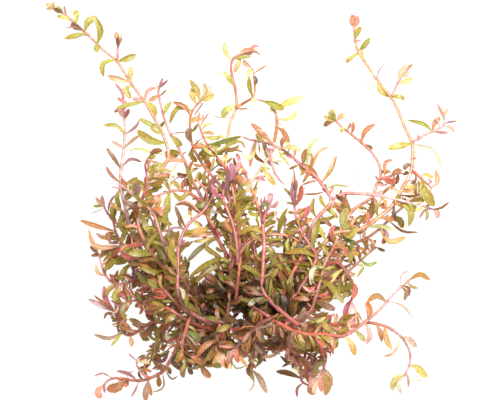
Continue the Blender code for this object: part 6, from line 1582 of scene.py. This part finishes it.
def leaf_material(looks):
    """Return the skin of the leaves: veined, mottled, browner from the edges and tip in, with patches of
    painted sheen and painted highlights.
    """
    if "leaf" in MADE:
        return MADE["leaf"]
    material = bpy.data.materials.new("rotala_leaf")
    material.use_nodes = True
    tree = material.node_tree
    tint = add_node(tree, "ShaderNodeVertexColor", layer_name="tint")
    blade = add_node(tree, "ShaderNodeUVMap", uv_map="blade")
    parts = add_node(tree, "ShaderNodeSeparateXYZ")
    tree.links.new(blade.outputs["UV"], parts.inputs["Vector"])
    across = maths(tree, "ABSOLUTE", maths(tree, "SUBTRACT", parts.outputs["X"], 0.5))
    mottle = patches(tree, *LEAF_MOTTLE)
    streak = patches(tree, *LEAF_STREAK)
    grain = maths(tree, "MULTIPLY", maths(tree, "ADD", mottle, streak), 0.5)
    lighter = washed(tree, tint.outputs["Color"], LEAF_LIGHT)
    darker = washed(tree, tint.outputs["Color"], LEAF_DARK)
    base = mixed(tree, "MIX", grain, darker, lighter)
    browner = washed(tree, base, looks.blush)
    rim = maths(tree, "MULTIPLY", ramped(tree, across, *RIM), patches(tree, *LEAF_BLOTCH))
    base = washed(tree, base, LEAF_RIM, rim)
    aged = maths(tree, "MULTIPLY", tint.outputs["Alpha"], AGED_SHARE)
    aged = maths(tree, "ADD", parts.outputs["Y"], aged)
    end = maths(tree, "MULTIPLY", ramped(tree, aged, *AGED_END), END_SHARE)
    base = mixed(tree, "MIX", end, base, browner)
    # Painted sheen: purple-grey patches that stand in for the sheen on the leaves.
    painted_sheen = maths(tree, "MULTIPLY", patches(tree, *PAINTED_SHEEN_PATCHES), PAINTED_SHEEN_SHARE)
    base = washed(tree, base, LEAF_PAINTED_SHEEN, painted_sheen)
    # Painted highlights: pale glossy patches on the leaves.
    gloss = maths(tree, "MULTIPLY", patches(tree, *PAINTED_GLOSS_PATCHES), PAINTED_GLOSS_SHARE)
    base = washed(tree, base, LEAF_PAINTED_GLOSS, gloss)
    vein = maths(tree, "MULTIPLY", ramped(tree, across, *VEIN), VEIN_SHARE)
    base = washed(tree, base, LEAF_VEIN, vein)
    set_skin(tree, base, LEAF_ROUGHNESS, mottle, LEAF_SEEN_INTO)
    MADE["leaf"] = material
    return material


def stalk_material():
    """Return the skin of the stalks: smooth and moist, streaked along them."""
    if "stalk" in MADE:
        return MADE["stalk"]
    material = bpy.data.materials.new("rotala_stalk")
    material.use_nodes = True
    tree = material.node_tree
    tint = add_node(tree, "ShaderNodeVertexColor", layer_name="tint")
    streak = patches(tree, *STALK_STREAK)
    warmth = patches(tree, *WARM_PATCHES)
    darker = washed(tree, tint.outputs["Color"], STALK_DARK)
    lighter = washed(tree, tint.outputs["Color"], STALK_LIGHT)
    base = washed(tree, mixed(tree, "MIX", streak, darker, lighter), STALK_WARM, warmth)
    set_skin(tree, base, STALK_ROUGHNESS, streak, STALK_SEEN_INTO)
    MADE["stalk"] = material
    return material


class RotalaLooks(bpy.types.PropertyGroup):
    """The sizes and colours of the leaves."""

    thickness: bpy.props.FloatProperty(
        name="Leaf thickness", description="Thickness of a leaf at its midrib",
        default=0.0003, min=0.0001, max=0.001, unit="LENGTH", precision=5)
    widen: bpy.props.FloatProperty(
        name="Leaf width", description="Width of the known leaves, as a share of their read width",
        default=1.16, min=0.5, max=1.6)
    crowded: bpy.props.FloatProperty(
        name="Crowded leaf width", description="The same for the leaves in the thick of the bunch",
        default=0.92, min=0.4, max=1.6)
    # Painted light: the thin leaves outside the thick are painted paler, as if lit from behind.
    painted_backlight: bpy.props.FloatProperty(
        name="Paleness", description="How much paler the thin leaves outside the thick are",
        default=0.2, min=0.0, max=1.0, subtype="FACTOR")
    fold: bpy.props.FloatProperty(
        name="Fold", description="How far the two halves of a leaf fold up, in degrees",
        default=20.0, min=0.0, max=60.0)
    roll: bpy.props.FloatProperty(
        name="Roll", description="How far a leaf turns on its midrib at random, in degrees",
        default=22.0, min=0.0, max=90.0)
    spacing: bpy.props.FloatProperty(
        name="Pair spacing", description="Distance between pairs of leaves in the thick of the bunch",
        default=0.0075, min=0.003, max=0.03, unit="LENGTH", precision=4)
    lengths: bpy.props.FloatVectorProperty(
        name="Leaf lengths", description="Shortest and longest leaf in the thick of the bunch",
        size=2, default=(0.007, 0.013), min=0.002, max=0.03, precision=4)
    blush: bpy.props.FloatVectorProperty(
        name="Blush", description="How much red, green and blue the browned edges and tips keep",
        subtype="COLOR", size=3, default=(0.95, 0.52, 0.45), min=0.0, max=1.0)


class RotalaStage(bpy.types.PropertyGroup):
    """The light, the ground and the camera."""

    height: bpy.props.FloatProperty(
        name="Camera height", description="Height of the camera above the ground",
        default=4.0, min=0.5, max=10.0, unit="LENGTH")
    width: bpy.props.FloatProperty(
        name="View width", description="Width of the ground that the camera sees",
        default=0.25, min=0.1, max=2.0, unit="LENGTH")
    sky: bpy.props.FloatProperty(
        name="Sky light", description="Strength of the even light from all round",
        default=0.8, min=0.0, max=5.0)
    lamp: bpy.props.FloatProperty(
        name="Lamp", description="Power of the large lamp above",
        default=8.0, min=0.0, max=200.0, subtype="POWER", unit="POWER")
    ground: bpy.props.FloatVectorProperty(
        name="Ground", description="Colour of the ground",
        subtype="COLOR", size=3, default=(0.2, 0.2, 0.2), min=0.0, max=1.0)


def dress_all(context, wanted):
    """Dress every stem that the test picks."""
    looks = context.scene.rotala_looks
    made = [dress_stem(stem, looks) for stem in STEMS if wanted(stem)]
    if not made:
        raise RuntimeError("no stem of this group is in the table")
    return {"FINISHED"}


class ROTALA_OT_high_stems(bpy.types.Operator):
    """Dress the stems that lie high in the bunch"""

    bl_idname = "rotala.high_stems"
    bl_label = "High stems"

    def execute(self, context):
        return dress_all(context, lambda stem: not stem.parent and stem.heights[1] >= HIGH_STEM)


class ROTALA_OT_low_stems(bpy.types.Operator):
    """Dress the stems that lie low in the bunch"""

    bl_idname = "rotala.low_stems"
    bl_label = "Low stems"

    def execute(self, context):
        return dress_all(context, lambda stem: not stem.parent and stem.heights[1] < HIGH_STEM)


class ROTALA_OT_side_shoots(bpy.types.Operator):
    """Dress the shoots that fork from the stems"""

    bl_idname = "rotala.side_shoots"
    bl_label = "Side shoots"

    def execute(self, context):
        return dress_all(context, lambda stem: bool(stem.parent))


class ROTALA_OT_stage(bpy.types.Operator):
    """Lay the ground and set the light and the camera"""

    bl_idname = "rotala.stage"
    bl_label = "Ground, light and camera"

    def execute(self, context):
        stage = context.scene.rotala_stage
        bpy.ops.object.select_all(action="DESELECT")
        bpy.ops.mesh.primitive_plane_add(size=GROUND_SIZE, location=(0.0, 0.0, -GROUND_DROP))
        ground = context.object
        ground.name = "ground"
        ground.data.materials.append(ground_material(stage.ground))
        world = bpy.data.worlds.new("even_sky")
        world.use_nodes = True
        sky = world.node_tree.nodes["Background"]
        sky.inputs["Color"].default_value = (1.0, 1.0, 1.0, 1.0)
        sky.inputs["Strength"].default_value = stage.sky
        context.scene.world = world
        lean = [math.radians(angle) for angle in LAMP_LEAN]
        bpy.ops.object.light_add(type="AREA", location=LAMP_PLACE, rotation=lean)
        lamp = context.object
        lamp.name = "large_lamp"
        lamp.data.shape = "DISK"
        lamp.data.size = LAMP_SIZE
        lamp.data.energy = stage.lamp
        bpy.ops.object.camera_add(location=(*flat(VIEW_MIDDLE), stage.height), rotation=(0.0, 0.0, 0.0))
        camera = context.object
        camera.name = "camera_above"
        camera.data.lens = camera.data.sensor_width * stage.height / stage.width
        camera.data.clip_end = FARTHEST
        context.scene.camera = camera
        context.scene.view_settings.view_transform = "Standard"
        return {"FINISHED"}


def ground_material(colour):
    """Return the pale matt ground's material."""
    material = bpy.data.materials.new("pale_ground")
    material.use_nodes = True
    shader = material.node_tree.nodes["Principled BSDF"]
    shader.inputs["Base Color"].default_value = (*colour, 1.0)
    shader.inputs["Roughness"].default_value = GROUND_ROUGHNESS
    shader.inputs["Emission Color"].default_value = (1.0, 1.0, 1.0, 1.0)
    shader.inputs["Emission Strength"].default_value = GROUND_GLOW
    return material


class ROTALA_PT_bunch(bpy.types.Panel):
    """The bunch's pieces, sizes and colours"""

    bl_label = "Rotala bunch"
    bl_idname = "ROTALA_PT_bunch"
    bl_space_type = "VIEW_3D"
    bl_region_type = "UI"
    bl_category = "Rotala"

    def draw(self, context):
        layout = self.layout
        for group in (context.scene.rotala_looks, context.scene.rotala_stage):
            column = layout.column()
            for name in group.bl_rna.properties.keys():
                if name not in ("rna_type", "name"):
                    column.prop(group, name)
        for operator in OPERATORS:
            layout.operator(operator.bl_idname)


OPERATORS = (ROTALA_OT_high_stems, ROTALA_OT_low_stems, ROTALA_OT_side_shoots, ROTALA_OT_stage)
CLASSES = (RotalaLooks, RotalaStage) + OPERATORS + (ROTALA_PT_bunch,)


def register():
    """Register the add-on's classes and its two groups of sizes and colours."""
    for item in CLASSES:
        bpy.utils.register_class(item)
    bpy.types.Scene.rotala_looks = bpy.props.PointerProperty(type=RotalaLooks)
    bpy.types.Scene.rotala_stage = bpy.props.PointerProperty(type=RotalaStage)


def unregister():
    """Take the add-on's classes and groups away again."""
    del bpy.types.Scene.rotala_looks
    del bpy.types.Scene.rotala_stage
    for item in reversed(CLASSES):
        bpy.utils.unregister_class(item)


def main():
    """Dress the bunch and set the stage."""
    register()
    bpy.ops.rotala.high_stems()
    bpy.ops.rotala.low_stems()
    bpy.ops.rotala.side_shoots()
    bpy.ops.rotala.stage()
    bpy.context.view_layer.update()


if __name__ == "__main__":
    main()
